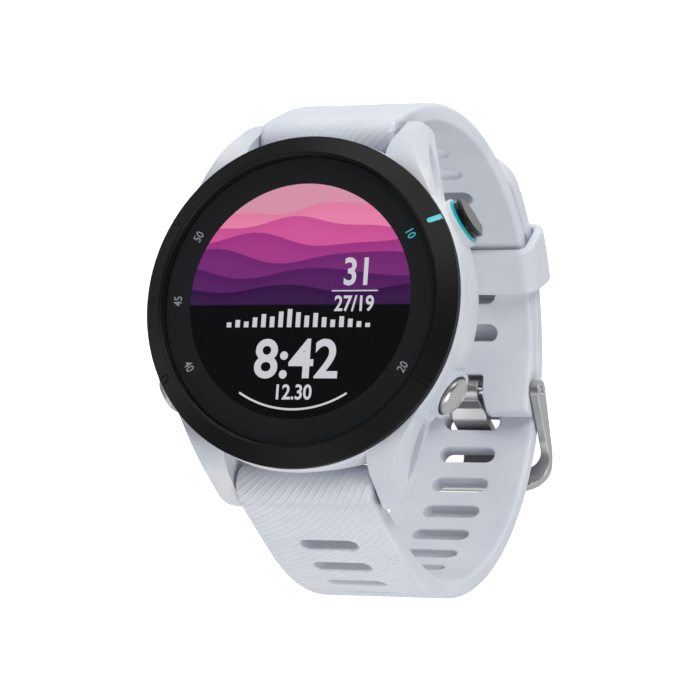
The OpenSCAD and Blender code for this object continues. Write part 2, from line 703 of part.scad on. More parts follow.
// Parts on the main board: centre x and y, length, width
chips = [[-4.6, 3.4, 6.2, 6.2], [4.2, 4.8, 4.6, 4.2], [5.4, -3.6, 5.2, 3.6], [-5.2, -5.4, 3.4, 4.4],
    [0.6, -8.6, 3, 2.2], [9.6, 1.2, 1.8, 3.2], [0.2, 9.6, 4.2, 1.6], [-10.4, -1.4, 1.6, 3.6]];

module board_chips() color("dimgray") for (c = chips)
    translate([c[0], c[1], board_top_z]) disc_box(c[2], c[3], 0, carrier_t - 0.1);

module battery() color("silver") difference() {
    translate([0, 0, battery_z]) disc_box(battery_x, battery_y, 0, battery_t);
    for (s = [-1, 1]) translate([s * battery_x / 2, battery_y / 2, battery_z + battery_t])
        cube([1.2, 1.2, 1.2], center = true);
}

module along_x(x, r, l) translate([x, motor_y, motor_z]) rotate([0, 90, 0]) cylinder(r = r, h = l);

module vibration_motor() color("lightsteelblue") difference() {
    along_x(-motor_l / 2, motor_d / 2, motor_l);
    along_x(motor_l / 2 - 1.4, motor_shaft_d / 2 + 0.03, 2);
}

module motor_weight() color("peru") {
    along_x(motor_l / 2 - 1.2, motor_shaft_d / 2, 1.3 + weight_l);
    difference() {
        along_x(weight_x, weight_r, weight_l);
        translate([weight_x - over, motor_y - 2 * weight_r, motor_z + motor_shaft_d / 2])
            cube([weight_l + 2 * over, 4 * weight_r, 2 * weight_r]);
    }
}

module beeper() color("gold") translate([6, -9, board_ledge_z - beeper_t])
    cylinder(d = beeper_d, h = beeper_t);

// ---------- back ----------

module port_outline(grow, z0, h) translate([0, -port_y, z0]) stadium(port_l + grow, port_w + grow, h);

module contact_places() for (i = [0:contact_count - 1])
    translate([(i - (contact_count - 1) / 2) * contact_pitch, -port_y, 0]) children();

module screw_places() for (i = [0:screw_count - 1])
    rotate([0, 0, 45 + i * 360 / screw_count]) translate([screw_pcr, 0, 0]) children();

head_seat_z = cover_rim_z + 0.1 + screw_head_t;

module case_back() color("gray") difference() {
    rotate_extrude($fn = 128) polygon([[0, boss_z], [boss_d / 2 - 0.35, boss_z],
        [boss_d / 2, cover_rim_z], [cover_d / 2 - 0.35, cover_rim_z],
        [cover_d / 2, cover_rim_z + 0.35], [cover_d / 2, cover_seat_z], [0, cover_seat_z]]);
    translate([0, 0, -over]) cylinder(r = window_seat_r, h = window_t + over, $fn = 96);
    cylinder(d = window_bore_d, h = cover_seat_z + over, $fn = 96);
    ring(seal_in_r, seal_in_r + seal_w, cover_seat_z - seal_t, cover_seat_z + over);
    port_outline(0, cover_rim_z - over, port_depth + over);
    contact_places() cylinder(d = contact_d + 0.04, h = cover_seat_z + over, $fn = 32);
    screw_places() {
        cylinder(d = screw_d + 0.1, h = cover_seat_z + over, $fn = 32);
        cylinder(d = screw_head_d + 0.1, h = head_seat_z, $fn = 32);
    }
}

module back_seal() color("black") ring(seal_in_r + 0.02, seal_in_r + seal_w - 0.02,
    cover_seat_z - seal_t + 0.01, cover_seat_z - 0.01);

module back_screws() color("silver") screw_places() difference() {
    union() {
        translate([0, 0, head_seat_z - screw_head_t]) cylinder(d = screw_head_d, h = screw_head_t, $fn = 32);
        translate([0, 0, head_seat_z - 0.1]) cylinder(d = screw_d, h = flange_top_z - head_seat_z, $fn = 32);
    }
    translate([0, 0, head_seat_z - screw_head_t - over]) cylinder(d = 0.9, h = over + 0.35, $fn = 6);
}

module sensor_window() color("black") difference() {
    cylinder(d = window_d, h = window_t, $fn = 96);
    translate([0, 0, window_t - 0.05]) ring(2.1, 2.35, 0, over);
}

module sensor_board() color("darkgreen") {
    translate([0, 0, cover_seat_z]) cylinder(r = window_seat_r + 0.7, h = sensor_board_t);
    translate([-contact_tab_w / 2, -port_y - contact_d, cover_seat_z])
        cube([contact_tab_w, port_y + contact_d - window_seat_r, sensor_board_t]);
}

module sensor_leds() color("palegreen") translate([0, 0, cover_seat_z - led_t]) {
    for (a = [0:90:270]) rotate([0, 0, a]) translate([3.9, 0, 0]) disc_box(2.2, 2.2, 0, led_t);
    for (a = [0:90:270]) rotate([0, 0, a + 45]) translate([1.15, 0, 0]) rotate([0, 0, 45])
        disc_box(0.9, 0.9, 0, led_t);
}

module charging_contacts() color("gold") contact_places() {
    translate([0, 0, cover_rim_z + port_depth - 0.35]) cylinder(d = contact_d, h = cover_seat_z
        - cover_rim_z - port_depth + 0.35, $fn = 32);
}

// ---------- buttons ----------

module button_bushes() color("silver") for (a = button_places) at_button(a)
    ring(stem_bore_r, bush_r - 0.01, cavity_r, recess_floor_r);

module button(a, dish) at_button(a) difference() {
    union() {
        translate([0, 0, cap_inner_r]) cylinder(r = cap_d / 2, h = cap_t - cap_bevel);
        translate([0, 0, cap_face_r - cap_bevel])
            cylinder(r1 = cap_d / 2, r2 = cap_d / 2 - cap_bevel, h = cap_bevel);
        translate([0, 0, clip_inner_r - stem_tail])
            cylinder(d = stem_d, h = cap_inner_r - clip_inner_r + stem_tail + 0.1);
        translate([0, 0, plunger_end_r]) cylinder(d = plunger_d, h = clip_inner_r - plunger_end_r);
    }
    ring(groove_d / 2, stem_d, seal_mid_r - stem_seal_w / 2, seal_mid_r + stem_seal_w / 2);
    ring(groove_d / 2, stem_d, clip_inner_r, clip_outer_r);
    if (dish) translate([0, 0, cap_face_r - 0.06]) cylinder(r = cap_d / 2 - cap_bevel - 0.2, h = 1);
}

module stem_seal(a) at_button(a) translate([0, 0, seal_mid_r]) rotate_extrude()
    translate([(groove_d / 2 + stem_bore_r) / 2, 0])
        circle(r = (stem_bore_r - groove_d / 2) / 2 - 0.01, $fn = 24);

module stem_clip(a) at_button(a) difference() {
    ring(groove_d / 2 + 0.01, clip_d / 2, clip_inner_r + 0.01, clip_outer_r - 0.01);
    translate([0, -groove_d / 2 + 0.05, clip_inner_r - over]) cube([clip_d, groove_d - 0.1, 3]);
}

module tactile_switches() color("silver") for (a = button_places) at_button(a) difference() {
    translate([-switch_h / 2, -switch_w / 2, switch_back_r]) cube([switch_h, switch_w, switch_t]);
    translate([0, 0, switch_back_r + 0.1]) cylinder(r = plunger_d / 2 + seat_gap, h = switch_t);
    translate([0, 0, switch_face_r - stem_tail]) cylinder(r = stem_d / 2 + seat_gap, h = switch_t);
}

// In a button's frame +X points down the case
module switch_flex() color("darkorange") for (a = button_places) at_button(a)
    translate([button_z - board_ledge_z + 0.02, -switch_w / 2 - 0.4, switch_back_r - flex_t])
    cube([board_ledge_z - flange_top_z - 0.08, switch_w + 0.8, flex_t - 0.01]);

module start_ring() color("turquoise") at_button(start_at)
    ring(start_ring_in_r, start_ring_out_r - 0.01, recess_floor_r, collar_face_r + start_ring_rise);

module start_button() color("black") {
    button(start_at, false);
    at_button(start_at) translate([0, 0, cap_inner_r])
        cylinder(d = cap_d - 0.01, h = start_face_r - cap_inner_r - start_head_t + 0.1);
    at_button(start_at) translate([0, 0, start_face_r - start_head_t]) {
        cylinder(d = start_head_d, h = start_head_t - cap_bevel);
        translate([0, 0, start_head_t - cap_bevel])
            cylinder(d1 = start_head_d, d2 = start_head_d - 2 * cap_bevel, h = cap_bevel);
    }
}
module start_seal() color("dimgray") stem_seal(start_at);
module start_clip() color("silver") stem_clip(start_at);
module back_button() color("lightgray") button(back_at, true);
module back_button_seal() color("dimgray") stem_seal(back_at);
module back_button_clip() color("silver") stem_clip(back_at);
module light_button() color("lightgray") button(light_at, true);
module light_seal() color("dimgray") stem_seal(light_at);
module light_clip() color("silver") stem_clip(light_at);
module up_button() color("lightgray") button(up_at, true);
module up_seal() color("dimgray") stem_seal(up_at);
module up_clip() color("silver") stem_clip(up_at);
module down_button() color("lightgray") button(down_at, true);
module down_seal() color("dimgray") stem_seal(down_at);
module down_clip() color("silver") stem_clip(down_at);

// ---------- band ----------

// Cross-section of a strap: thickness along X, width along Y. Each run towards the lugs is a hair
// larger all round than the one that it takes in
module strap_section(run) {
    h = strap_w / 2 - strap_edge_r;
    t = strap_t / 2 - strap_edge_r;
    r = strap_edge_r + run * run_step;
    square([2 * (t + r), 2 * h], center = true);
    square([2 * t, 2 * (h + r)], center = true);
    for (sx = [-1, 1], sy = [-1, 1]) translate([sx * t, sy * h]) circle(r, $fn = 32);
}

// A bent run of strap about c, from angle a0 to a1 measured from straight down
module strap_arc(c, r_out, a0, a1, run) translate([0, c[0], c[1]]) loop_plane() rotate([0, 0, a0 - 90])
    rotate_extrude(angle = a1 - a0, $fn = 180) translate([r_out - strap_t / 2, 0]) strap_section(run);

module strap_root(l) {
    translate([0, bar_y, bar_z]) rotate([0, 90, 0]) rotate_extrude() polygon([[0, -strap_w / 2],
        [knuckle_r - 0.5, -strap_w / 2], [knuckle_r, -strap_w / 2 + 0.5], [knuckle_r, strap_w / 2 - 0.5],
        [knuckle_r - 0.5, strap_w / 2], [0, strap_w / 2]]);
    translate([0, bar_y, bar_z]) rotate([exit_angle - 180, 0, 0]) translate([0, -knuckle_r + strap_t / 2, 0])
        linear_extrude(l + run_lap) rotate([0, 0, 90]) strap_section(2);
}

// Places children on a strap's middle surface at arc length s from the lowest point: +Y runs on along
// the strap towards its spring bar and +Z points into the loop
module on_strap(s, r_mid, c, r_flank, join) {
    s_join = r_mid * join * PI / 180;
    s_end = s_join + r_flank * (90 + exit_angle - join) * PI / 180;
    if (s <= s_join) translate([0, 0, loop_z]) rotate([s / r_mid * 180 / PI, 0, 0])
        translate([0, 0, -r_mid]) children();
    else if (s <= s_end) translate([0, c[0], c[1]]) rotate([join + (s - s_join) / r_flank * 180 / PI, 0, 0])
        translate([0, 0, -r_flank]) children();
    else translate([0, c[0], c[1]]) rotate([90 + exit_angle, 0, 0])
        translate([0, s - s_end, -r_flank]) children();
}

module on_long(s) on_strap(s, long_out_r - strap_t / 2, long_flank_c,
    long_flank_r - strap_t / 2, long_join) children();
module on_short(s) on_strap(s, short_out_r - strap_t / 2, short_flank_c,
    short_flank_r - strap_t / 2, short_join) children();

// Bar bore, and the way for the release knob's post through the knuckle
module bar_bore(knob) translate([0, bar_y, bar_z]) {
    rotate([0, 90, 0]) translate([0, 0, -strap_w]) cylinder(r = tube_d / 2 + tube_gap, h = 2 * strap_w);
    if (knob) rotate([-knob_turn, 0, 0]) translate([-knob_x - slot_room, -slot_room, -knuckle_r - over])
        cube([release_travel + 2 * slot_room, 2 * slot_room, knuckle_r + over]);
}

module long_strap() color("gainsboro") mirror([0, 1, 0]) difference() {
    tail_s = -(long_out_r - strap_t / 2) * tail_end * PI / 180;
    slot_s = (long_out_r - strap_t / 2) * tongue_slot_at * PI / 180;
    union() {
        strap_root(long_straight);
        strap_arc(long_flank_c, long_flank_r, long_join, 90 + exit_angle, 1);
        strap_arc([0, loop_z], long_out_r, -tail_end, long_join + lap_angle, 0);
    }
    bar_bore(false);
    for (i = [-slots_tail:slots_front]) on_long(slot_s + i * slot_pitch) translate([0, 0, -3])
        stadium(slot_l, slot_w, 6);
    // rounded tail
    on_long(tail_s + tail_corner_r) translate([0, 0, -4]) difference() {
        translate([-10, -12, 0]) cube([20, 12, 8]);
        translate([0, 0, -over]) stadium(strap_w, 2 * tail_corner_r, 10);
        translate([-strap_w / 2 + tail_corner_r, -tail_corner_r, -over])
            cube([strap_w - 2 * tail_corner_r, tail_corner_r, 10]);
    }
}

// Places children with the origin on the buckle's pin: +Y runs towards the outer bar and +Z out of the loop
module on_pin() translate([0, 0, loop_z]) rotate([-pin_at, 0, 0]) translate([0, 0, -pin_loop_r])
    rotate([180, 0, 0]) children();

module short_strap() color("gainsboro") difference() {
    short_mid = short_out_r - strap_t / 2;
    union() {
        strap_root(short_straight);
        strap_arc(short_flank_c, short_flank_r, short_join, 90 + exit_angle, 1);
        strap_arc([0, loop_z], short_out_r, -short_end_at, short_join + lap_angle, 0);
        on_pin() rotate([0, 90, 0]) translate([0, 0, -strap_w / 2 + knuckle_inset])
            cylinder(r = end_knuckle_r, h = strap_w - 2 * knuckle_inset);
    }
    bar_bore(true);
    on_pin() rotate([0, 90, 0]) translate([0, 0, -strap_w]) cylinder(r = pin_bore_r, h = 2 * strap_w);
    for (i = [0:short_slots - 1]) on_short(short_mid * short_slot_at * PI / 180 + i * short_slot_pitch)
        translate([0, 0, -3]) stadium(short_slot_l, slot_w, 6);
    // notch for the tongue, wider at the mouth
    on_pin() translate([-notch_w / 2, -2.2, -4]) cube([notch_w, 12, 8]);
    on_pin() translate([0, 0, -4]) linear_extrude(8) polygon([[-notch_w / 2, 0.8], [notch_w / 2, 0.8],
        [notch_w / 2 + 0.9, 4.6], [-notch_w / 2 - 0.9, 4.6]]);
}

module keeper_loop() color("gainsboro") translate([0, 0, loop_z]) loop_plane() {
    r0 = short_in_r - keeper_gap;
    r1 = long_out_r + keeper_gap;
    half = strap_w / 2 + keeper_gap;
    sweep = keeper_w / ((r0 + r1) / 2) * 180 / PI;
    rotate([0, 0, keeper_at - 90 - sweep / 2]) rotate_extrude(angle = sweep, $fn = 180) difference() {
        translate([r0 - keeper_t, -half - keeper_t]) rounded_square(r1 - r0 + 2 * keeper_t,
            2 * (half + keeper_t), keeper_corner_r);
        translate([r0, -half]) rounded_square(r1 - r0, 2 * half, strap_edge_r);
    }
}

module rounded_square(w, h, r) {
    translate([r, 0]) square([w - 2 * r, h]);
    translate([0, r]) square([w, h - 2 * r]);
    for (x = [r, w - r], y = [r, h - r]) translate([x, y]) circle(r, $fn = 48);
}

// ---------- buckle ----------

module pin_profile(h) rotate([90, 0, 90]) translate([0, 0, -h / 2]) linear_extrude(h) children();

module frame_side() {
    polygon(concat(arc_points([0, 0], eye_r, arm_lean, 305, 12),
        arc_points(crown_c, crown_r - frame_t, arm_lean, curl_angle, 12),
        arc_points(crown_c, crown_r, curl_angle, arm_lean, 16)));
    translate(crown_c + (crown_r - frame_t / 2) * [cos(curl_angle), sin(curl_angle)])
        circle(frame_t / 2, $fn = 32);
}

module buckle_frame() color("silver") on_pin() difference() {
    intersection() {
        pin_profile(2 * arm_out_x) frame_side();
        translate([0, 0, -5]) linear_extrude(15) difference() {
            union() {
                translate([-arm_out_x, -3]) square([2 * arm_out_x, frame_reach + 3 - frame_corner_r]);
                translate([-arm_out_x + frame_corner_r, 0])
                    square([2 * (arm_out_x - frame_corner_r), frame_reach]);
                for (s = [-1, 1]) translate([s * (arm_out_x - frame_corner_r), frame_reach - frame_corner_r])
                    circle(frame_corner_r);
            }
            translate([-arm_in_x, -4])
                square([2 * arm_in_x, frame_reach - frame_bar_w + 4 - window_corner_r]);
            translate([-arm_in_x + window_corner_r, -4]) square([2 * (arm_in_x - window_corner_r),
                frame_reach - frame_bar_w + 4]);
            for (s = [-1, 1]) translate([s * (arm_in_x - window_corner_r), frame_reach - frame_bar_w
                - window_corner_r]) circle(window_corner_r);
        }
    }
    pin_profile(3 * arm_out_x) circle(pin_bore_r);
    // rest for the tongue in the outer bar
    translate([-tongue_w / 2 - 0.15, 4, frame_rise - notch_depth]) cube([tongue_w + 0.3, 6.7, 4]);
    translate([-tongue_w / 2 - 0.15, 9, frame_rise - notch_depth]) rotate([-20, 0, 0])
        cube([tongue_w + 0.3, 6.7, 4]);
}

module tongue_leg(i) {
    a = tongue_line[i];
    b = tongue_line[i + 1];
    d = b - a;
    l = norm(d);
    translate(a) rotate(atan2(d[1], d[0])) translate([0, -tongue_t / 2]) square([l, tongue_t]);
    translate(b) circle(tongue_t / 2, $fn = 32);
}

module buckle_tongue() color("silver") on_pin() difference() {
    intersection() {
        pin_profile(tongue_w) {
            circle(tongue_eye_r);
            for (i = [0:len(tongue_line) - 2]) tongue_leg(i);
        }
        translate([0, 0, -3]) linear_extrude(14) polygon([[-tongue_neck_w / 2, -3], [tongue_neck_w / 2, -3],
            [tongue_neck_w / 2, 1.4], [tongue_w / 2, 3], [tongue_w / 2, 9.5], [tongue_w / 2 - 1.1, 12],
            [-tongue_w / 2 + 1.1, 12], [-tongue_w / 2, 9.5], [-tongue_w / 2, 3], [-tongue_neck_w / 2, 1.4]]);
    }
    pin_profile(3 * tongue_w) circle(pin_bore_r);
}

module buckle_pin() color("silver") on_pin() pin_profile(2 * arm_out_x - 0.3) circle(pin_r);

// ---------- spring bars ----------

module bar_frame(side) translate([0, side * bar_y, bar_z]) rotate([0, 90, 0]) children();

module bar_tube(knob) difference() {
    translate([0, 0, -tube_half]) cylinder(d = tube_d, h = 2 * tube_half);
    translate([0, 0, -tube_half - over]) cylinder(d = tube_bore_d, h = 2 * tube_half + 2 * over);
    if (knob) rotate([0, 0, -knob_turn]) translate([0, -slot_room, -knob_x - slot_room])
        cube([tube_d, 2 * slot_room, release_travel + 2 * slot_room]);
}

// A tip that ends at x, with its body held in the tube down to x_in
module bar_tip(x, x_in, r_body) {
    translate([0, 0, tube_half - 0.3]) cylinder(d = tip_d, h = x - tube_half + 0.1);
    translate([0, 0, x - 0.2]) cylinder(d1 = tip_d, d2 = tip_d - 0.3, h = 0.2);
    translate([0, 0, x_in]) cylinder(r = r_body, h = tube_half - 0.3 - x_in);
}

module upper_bar_tube() color("silver") bar_frame(1) bar_tube(true);
module upper_bar_fixed_tip() color("gray") bar_frame(1)
    bar_tip(tip_out_x, tube_half - plug_l, tube_bore_d / 2);
module upper_bar_release_tip() color("gray") bar_frame(1) {
    mirror([0, 0, 1]) bar_tip(tip_out_x, piston_in_x, tip_slide_r);
    translate([0, 0, -knob_x]) rotate([0, 0, -knob_turn]) rotate([0, 90, 0]) {
        cylinder(d = post_d, h = knuckle_r + 0.15);
        translate([0, 0, knuckle_r + 0.1]) cylinder(d = knob_d, h = knob_t);
    }
}
module upper_bar_spring() color("gray") bar_frame(1) coil(-piston_in_x, tube_half - plug_l);
module lower_bar_tube() color("silver") bar_frame(-1) bar_tube(false);
module lower_bar_tips() color("gray") bar_frame(-1) for (m = [0, 1]) mirror([0, 0, m])
    bar_tip(drawn_tip_x, piston_in_x, tip_slide_r);
module lower_bar_spring() color("gray") bar_frame(-1) coil(-piston_in_x, piston_in_x);

// Wire wound about Z from z0 to z1
module coil(z0, z1) {
    per_turn = 8;
    sides = 6;
    steps = coil_turns * per_turn;
    rise = z1 - z0 - wire_d - 0.04;
    function wire_point(i, k) = let (a = i * 360 / per_turn, b = k * 360 / sides,
        r = coil_d / 2 + wire_d / 2 * cos(b)) [r * cos(a), r * sin(a),
        z0 + wire_d / 2 + 0.02 + rise * i / steps + wire_d / 2 * sin(b)];
    points = [for (i = [0:steps], k = [0:sides - 1]) wire_point(i, k)];
    skin = [for (i = [0:steps - 1], k = [0:sides - 1], half = [0, 1]) let (n = (k + 1) % sides,
        a = i * sides, b = a + sides) half == 0 ? [a + k, a + n, b + n] : [a + k, b + n, b + k]];
    ends = [for (k = [1:sides - 2], e = [0, 1]) e == 0 ? [0, k + 1, k]
        : [steps * sides, steps * sides + k, steps * sides + k + 1]];
    polyhedron(points, concat(skin, ends), convexity = 10);
}

// ---------- nodes ----------

case_body();
bezel();
start_mark();
lens();
lens_bond();
display_panel();
display_carrier();
gps_antenna();
main_board();
board_chips();
battery();
vibration_motor();
motor_weight();
beeper();
case_back();
back_seal();
back_screws();
sensor_window();
sensor_board();
sensor_leds();
charging_contacts();
button_bushes();
tactile_switches();
switch_flex();
start_ring();
start_button();
start_seal();
start_clip();
back_button();
back_button_seal();
back_button_clip();
light_button();
light_seal();
light_clip();
up_button();
up_seal();
up_clip();
down_button();
down_seal();
down_clip();
short_strap();
long_strap();
keeper_loop();
buckle_frame();
buckle_tongue();
buckle_pin();
upper_bar_tube();
upper_bar_fixed_tip();
upper_bar_release_tip();
upper_bar_spring();
lower_bar_tube();
lower_bar_tips();
lower_bar_spring();
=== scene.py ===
"""Dressed model of a gps running watch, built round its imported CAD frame.

Lengths in the classes are millimetres; meshes are written in metres.
"""
import json
import logging
import math
from dataclasses import dataclass
from enum import Enum
from typing import Callable, Sequence

import bmesh
import bpy
import numpy as np
from mathutils import Matrix, Vector
from mathutils.geometry import delaunay_2d_cdt


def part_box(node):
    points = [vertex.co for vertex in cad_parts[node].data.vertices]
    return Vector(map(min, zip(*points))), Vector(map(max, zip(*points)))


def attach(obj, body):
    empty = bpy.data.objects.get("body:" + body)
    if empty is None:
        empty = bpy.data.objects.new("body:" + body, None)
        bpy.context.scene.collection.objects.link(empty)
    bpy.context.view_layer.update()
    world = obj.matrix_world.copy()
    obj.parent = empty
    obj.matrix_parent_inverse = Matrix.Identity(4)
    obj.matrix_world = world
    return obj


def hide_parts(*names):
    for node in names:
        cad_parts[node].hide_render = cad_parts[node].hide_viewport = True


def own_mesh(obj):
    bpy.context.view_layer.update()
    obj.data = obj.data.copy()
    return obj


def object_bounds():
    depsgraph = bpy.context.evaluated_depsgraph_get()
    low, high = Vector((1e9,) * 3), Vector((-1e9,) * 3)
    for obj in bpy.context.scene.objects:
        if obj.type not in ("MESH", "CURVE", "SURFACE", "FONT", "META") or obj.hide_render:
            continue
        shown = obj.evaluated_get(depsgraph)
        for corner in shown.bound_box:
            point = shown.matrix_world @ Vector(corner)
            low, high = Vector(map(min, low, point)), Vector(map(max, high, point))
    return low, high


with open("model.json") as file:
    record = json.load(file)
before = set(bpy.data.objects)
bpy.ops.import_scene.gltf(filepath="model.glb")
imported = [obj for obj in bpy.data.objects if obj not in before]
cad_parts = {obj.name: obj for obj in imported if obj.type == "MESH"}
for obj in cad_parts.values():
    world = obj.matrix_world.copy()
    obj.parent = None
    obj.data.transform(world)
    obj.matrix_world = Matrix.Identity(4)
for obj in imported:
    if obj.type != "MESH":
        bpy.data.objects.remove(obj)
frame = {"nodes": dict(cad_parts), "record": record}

CAD_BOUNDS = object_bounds()
MM = 0.001
LOG = logging.getLogger("watch")

Point2 = tuple[float, float]
Colour = tuple[float, float, float]


class Grain(Enum):
    """How a moulded surface was textured in its tool."""

    SATIN = "satin"
    MATT = "matt"
    GLOSS = "gloss"


class Brush(Enum):
    """How a metal face was finished."""

    POLISHED = "polished"
    ALONG_X = "along_x"
    ALONG_Y = "along_y"
    SPUN = "spun"


# ---------------------------------------------------------------- node wiring

def srgb(red: int, green: int, blue: int) -> Colour:
    """Turn a screen colour of 0 to 255 into linear light."""
    return tuple((c / 255 / 12.92) if c <= 10 else ((c / 255 + 0.055) / 1.055) ** 2.4
                 for c in (red, green, blue))


WHITE = (1.0, 1.0, 1.0, 1.0)
STRAP_COLOUR: Colour = srgb(212, 215, 223)
CASE_COLOUR: Colour = srgb(211, 213, 217)


def shade(colour: Colour, share: float) -> Colour:
    """Darken a colour to a share of itself."""
    return tuple(c * share for c in colour)


class Nodes:
    """A node tree being wired, with short calls for the nodes that its users share."""

    def __init__(self, tree: bpy.types.NodeTree) -> None:
        """Hold the tree, emptied."""
        self.tree = tree
        tree.nodes.clear()

    def add(self, kind: str, **props: object) -> bpy.types.Node:
        """Add a node.

        Args:
            kind: The node's type name.
            **props: Properties to set on it.

        Returns:
            The node.
        """
        node = self.tree.nodes.new(kind)
        for key, value in props.items():
            setattr(node, key, value)
        return node

    def feed(self, target: bpy.types.NodeSocket, value: object) -> None:
        """Set a socket to a constant, or link it when the value is a socket.

        Args:
            target: The socket to set.
            value: A number, a vector or a socket.
        """
        if isinstance(value, bpy.types.NodeSocket):
            self.tree.links.new(value, target)
        else:
            target.default_value = value

    def fill(self, node: bpy.types.Node, *values: object, **named: object) -> bpy.types.NodeSocket:
        """Feed a node's inputs with numbers, vectors or sockets.

        Args:
            node: The node.
            *values: Values of its first inputs, in order.
            **named: Values by the input's name, with underscores for spaces.

        Returns:
            The node's first output.
        """
        for socket, value in zip(node.inputs, values):
            self.feed(socket, value)
        for key, value in named.items():
            self.feed(node.inputs[key.replace("_", " ")], value)
        return node.outputs[0]

    def put(self, kind: str, *values: object, **named: object) -> bpy.types.NodeSocket:
        """Add a node, feed its inputs, and give its first output."""
        return self.fill(self.add(kind), *values, **named)

    def math(self, operation: str, *values: object, clamp: bool = False) -> bpy.types.NodeSocket:
        """Add a Math node of numbers or sockets; its result may be kept in 0 to 1."""
        return self.fill(self.add("ShaderNodeMath", operation=operation, use_clamp=clamp), *values)

    def plus(self, first: object, second: object) -> bpy.types.NodeSocket:
        """Add two numbers or sockets."""
        return self.math("ADD", first, second)

    def minus(self, first: object, second: object) -> bpy.types.NodeSocket:
        """Take the second number or socket from the first."""
        return self.math("SUBTRACT", first, second)

    def times(self, first: object, second: object) -> bpy.types.NodeSocket:
        """Multiply two numbers or sockets."""
        return self.math("MULTIPLY", first, second)

    def reach(self, x: bpy.types.NodeSocket, y: bpy.types.NodeSocket) -> bpy.types.NodeSocket:
        """Give a point's distance from the middle."""
        return self.math("SQRT", self.plus(self.times(x, x), self.times(y, y)))


class Wiring(Nodes):
    """A material being wired round a Principled shader."""

    def __init__(self, name: str) -> None:
        """Start the material.

        Args:
            name: The material's name.
        """
        self.material = bpy.data.materials.new(name)
        self.material.use_nodes = True
        super().__init__(self.material.node_tree)
        self.output = self.add("ShaderNodeOutputMaterial").inputs[0]
        self.shader = self.add("ShaderNodeBsdfPrincipled")
        self.feed(self.output, self.shader.outputs[0])
        self._object_mm = None

    def object_mm(self) -> bpy.types.NodeSocket:
        """Give Object coordinates in millimetres.

        Returns:
            The vector socket.
        """
        if self._object_mm is None:
            coord = self.add("ShaderNodeTexCoord")
            scale = self.add("ShaderNodeVectorMath", operation="SCALE")
            self._object_mm = self.fill(scale, coord.outputs["Object"], Scale=1 / MM)
        return self._object_mm

    def attribute(self, name: str) -> bpy.types.NodeSocket:
        """Give a mesh attribute as a vector."""
        return self.add("ShaderNodeAttribute", attribute_name=name).outputs["Vector"]

    def split(self, vector: bpy.types.NodeSocket) -> tuple:
        """Give a vector's three components."""
        return tuple(self.put("ShaderNodeSeparateXYZ", vector).node.outputs)

    def span(self, value: bpy.types.NodeSocket, low: float, high: float,
             to_low: float = 0.0, to_high: float = 1.0) -> bpy.types.NodeSocket:
        """Map low to to_low and high to to_high, smoothly and clamped at both ends."""
        node = self.add("ShaderNodeMapRange", interpolation_type="SMOOTHSTEP")
        return self.fill(node, value, low, high, to_low, to_high)

    def noise(self, per_mm: float, detail: float = 3.0, rough: float = 0.55,
              vector: bpy.types.NodeSocket | None = None) -> bpy.types.NodeSocket:
        """Give a noise value, in Object coordinates when no others in millimetres are given."""
        return self.put("ShaderNodeTexNoise", Vector=vector or self.object_mm(), Scale=per_mm, Detail=detail,
                        Roughness=rough)

    def pixels(self) -> bpy.types.NodeSocket:
        """Give a display's fine pixel grid, from -1 to 1."""
        waves = [self.math("SINE", self.times(way, 50.0)) for way in self.split(self.object_mm())[:2]]
        return self.times(*waves)

    def blend(self, factor: object, first: object, second: object) -> bpy.types.NodeSocket:
        """Mix two colours.

        Args:
            factor: Share of the second.
            first: First colour or socket.
            second: Second colour or socket.

        Returns:
            The mixed colour socket.
        """
        node = self.add("ShaderNodeMix", data_type="RGBA")
        self.feed(node.inputs[0], factor)
        for socket, colour in ((node.inputs[6], first), (node.inputs[7], second)):
            self.feed(socket, (*colour, 1.0) if isinstance(colour, tuple) else colour)
        return node.outputs[2]

    def relief(self, height: bpy.types.NodeSocket, depth_mm: float, strength: float = 1.0,
               edge_mm: float = 0.0) -> None:
        """Bump the surface, and round its edges.

        Args:
            height: Height from 0 to 1.
            depth_mm: Depth of the full height.
            strength: Share of the bump.
            edge_mm: Radius that edges seem to have.
        """
        bump = self.add("ShaderNodeBump")
        self.fill(bump, Strength=strength, Distance=depth_mm * MM, Height=height)
        if edge_mm:
            edge = self.add("ShaderNodeBevel", samples=6)
            self.fill(bump, Normal=self.fill(edge, Radius=edge_mm * MM))
        self.set(Normal=bump.outputs[0])

    def set(self, **values: object) -> None:
        """Feed the Principled shader's inputs, by name with underscores for spaces."""
        self.fill(self.shader, **values)


# ---------------------------------------------------------------- finishes

@dataclass(frozen=True)
class Finish:
    """A material that wires itself."""

    name: str

    def wire(self, w: Wiring) -> None:
        """Wire the material; each finish has its own way."""
        raise NotImplementedError

    def build(self) -> bpy.types.Material:
        """Make the material.

        Returns:
            The material.
        """
        w = Wiring(self.name)
        self.wire(w)
        return w.material


@dataclass(frozen=True)
class Resin(Finish):
    """Moulded resin with tool texture and faint mould variation."""

    colour: Colour
    grain: Grain = Grain.SATIN
    roughness: float = 0.42
    edge_mm: float = 0.18
    tint: Colour = (0.9, 0.93, 1.0)
    level: float = 0.4

    def wire(self, w: Wiring) -> None:
        """Wire the material.

        Args:
            w: Its wiring, just begun.
        """
        cloud = w.noise(0.09, 2.0)
        speck = w.noise(9.0 if self.grain is Grain.MATT else 5.0, 4.0)
        dark = tuple(c * t * 0.93 for c, t in zip(self.colour, self.tint))
        w.set(Base_Color=w.blend(w.span(cloud, 0.35, 0.65), self.colour, dark))
        w.set(Roughness=w.plus(w.times(speck, 0.14), self.roughness - 0.07), IOR=1.5,
              Specular_IOR_Level=self.level)
        depth = {Grain.SATIN: 0.006, Grain.MATT: 0.012, Grain.GLOSS: 0.0006}[self.grain]
        w.relief(speck, depth, 0.6, self.edge_mm)


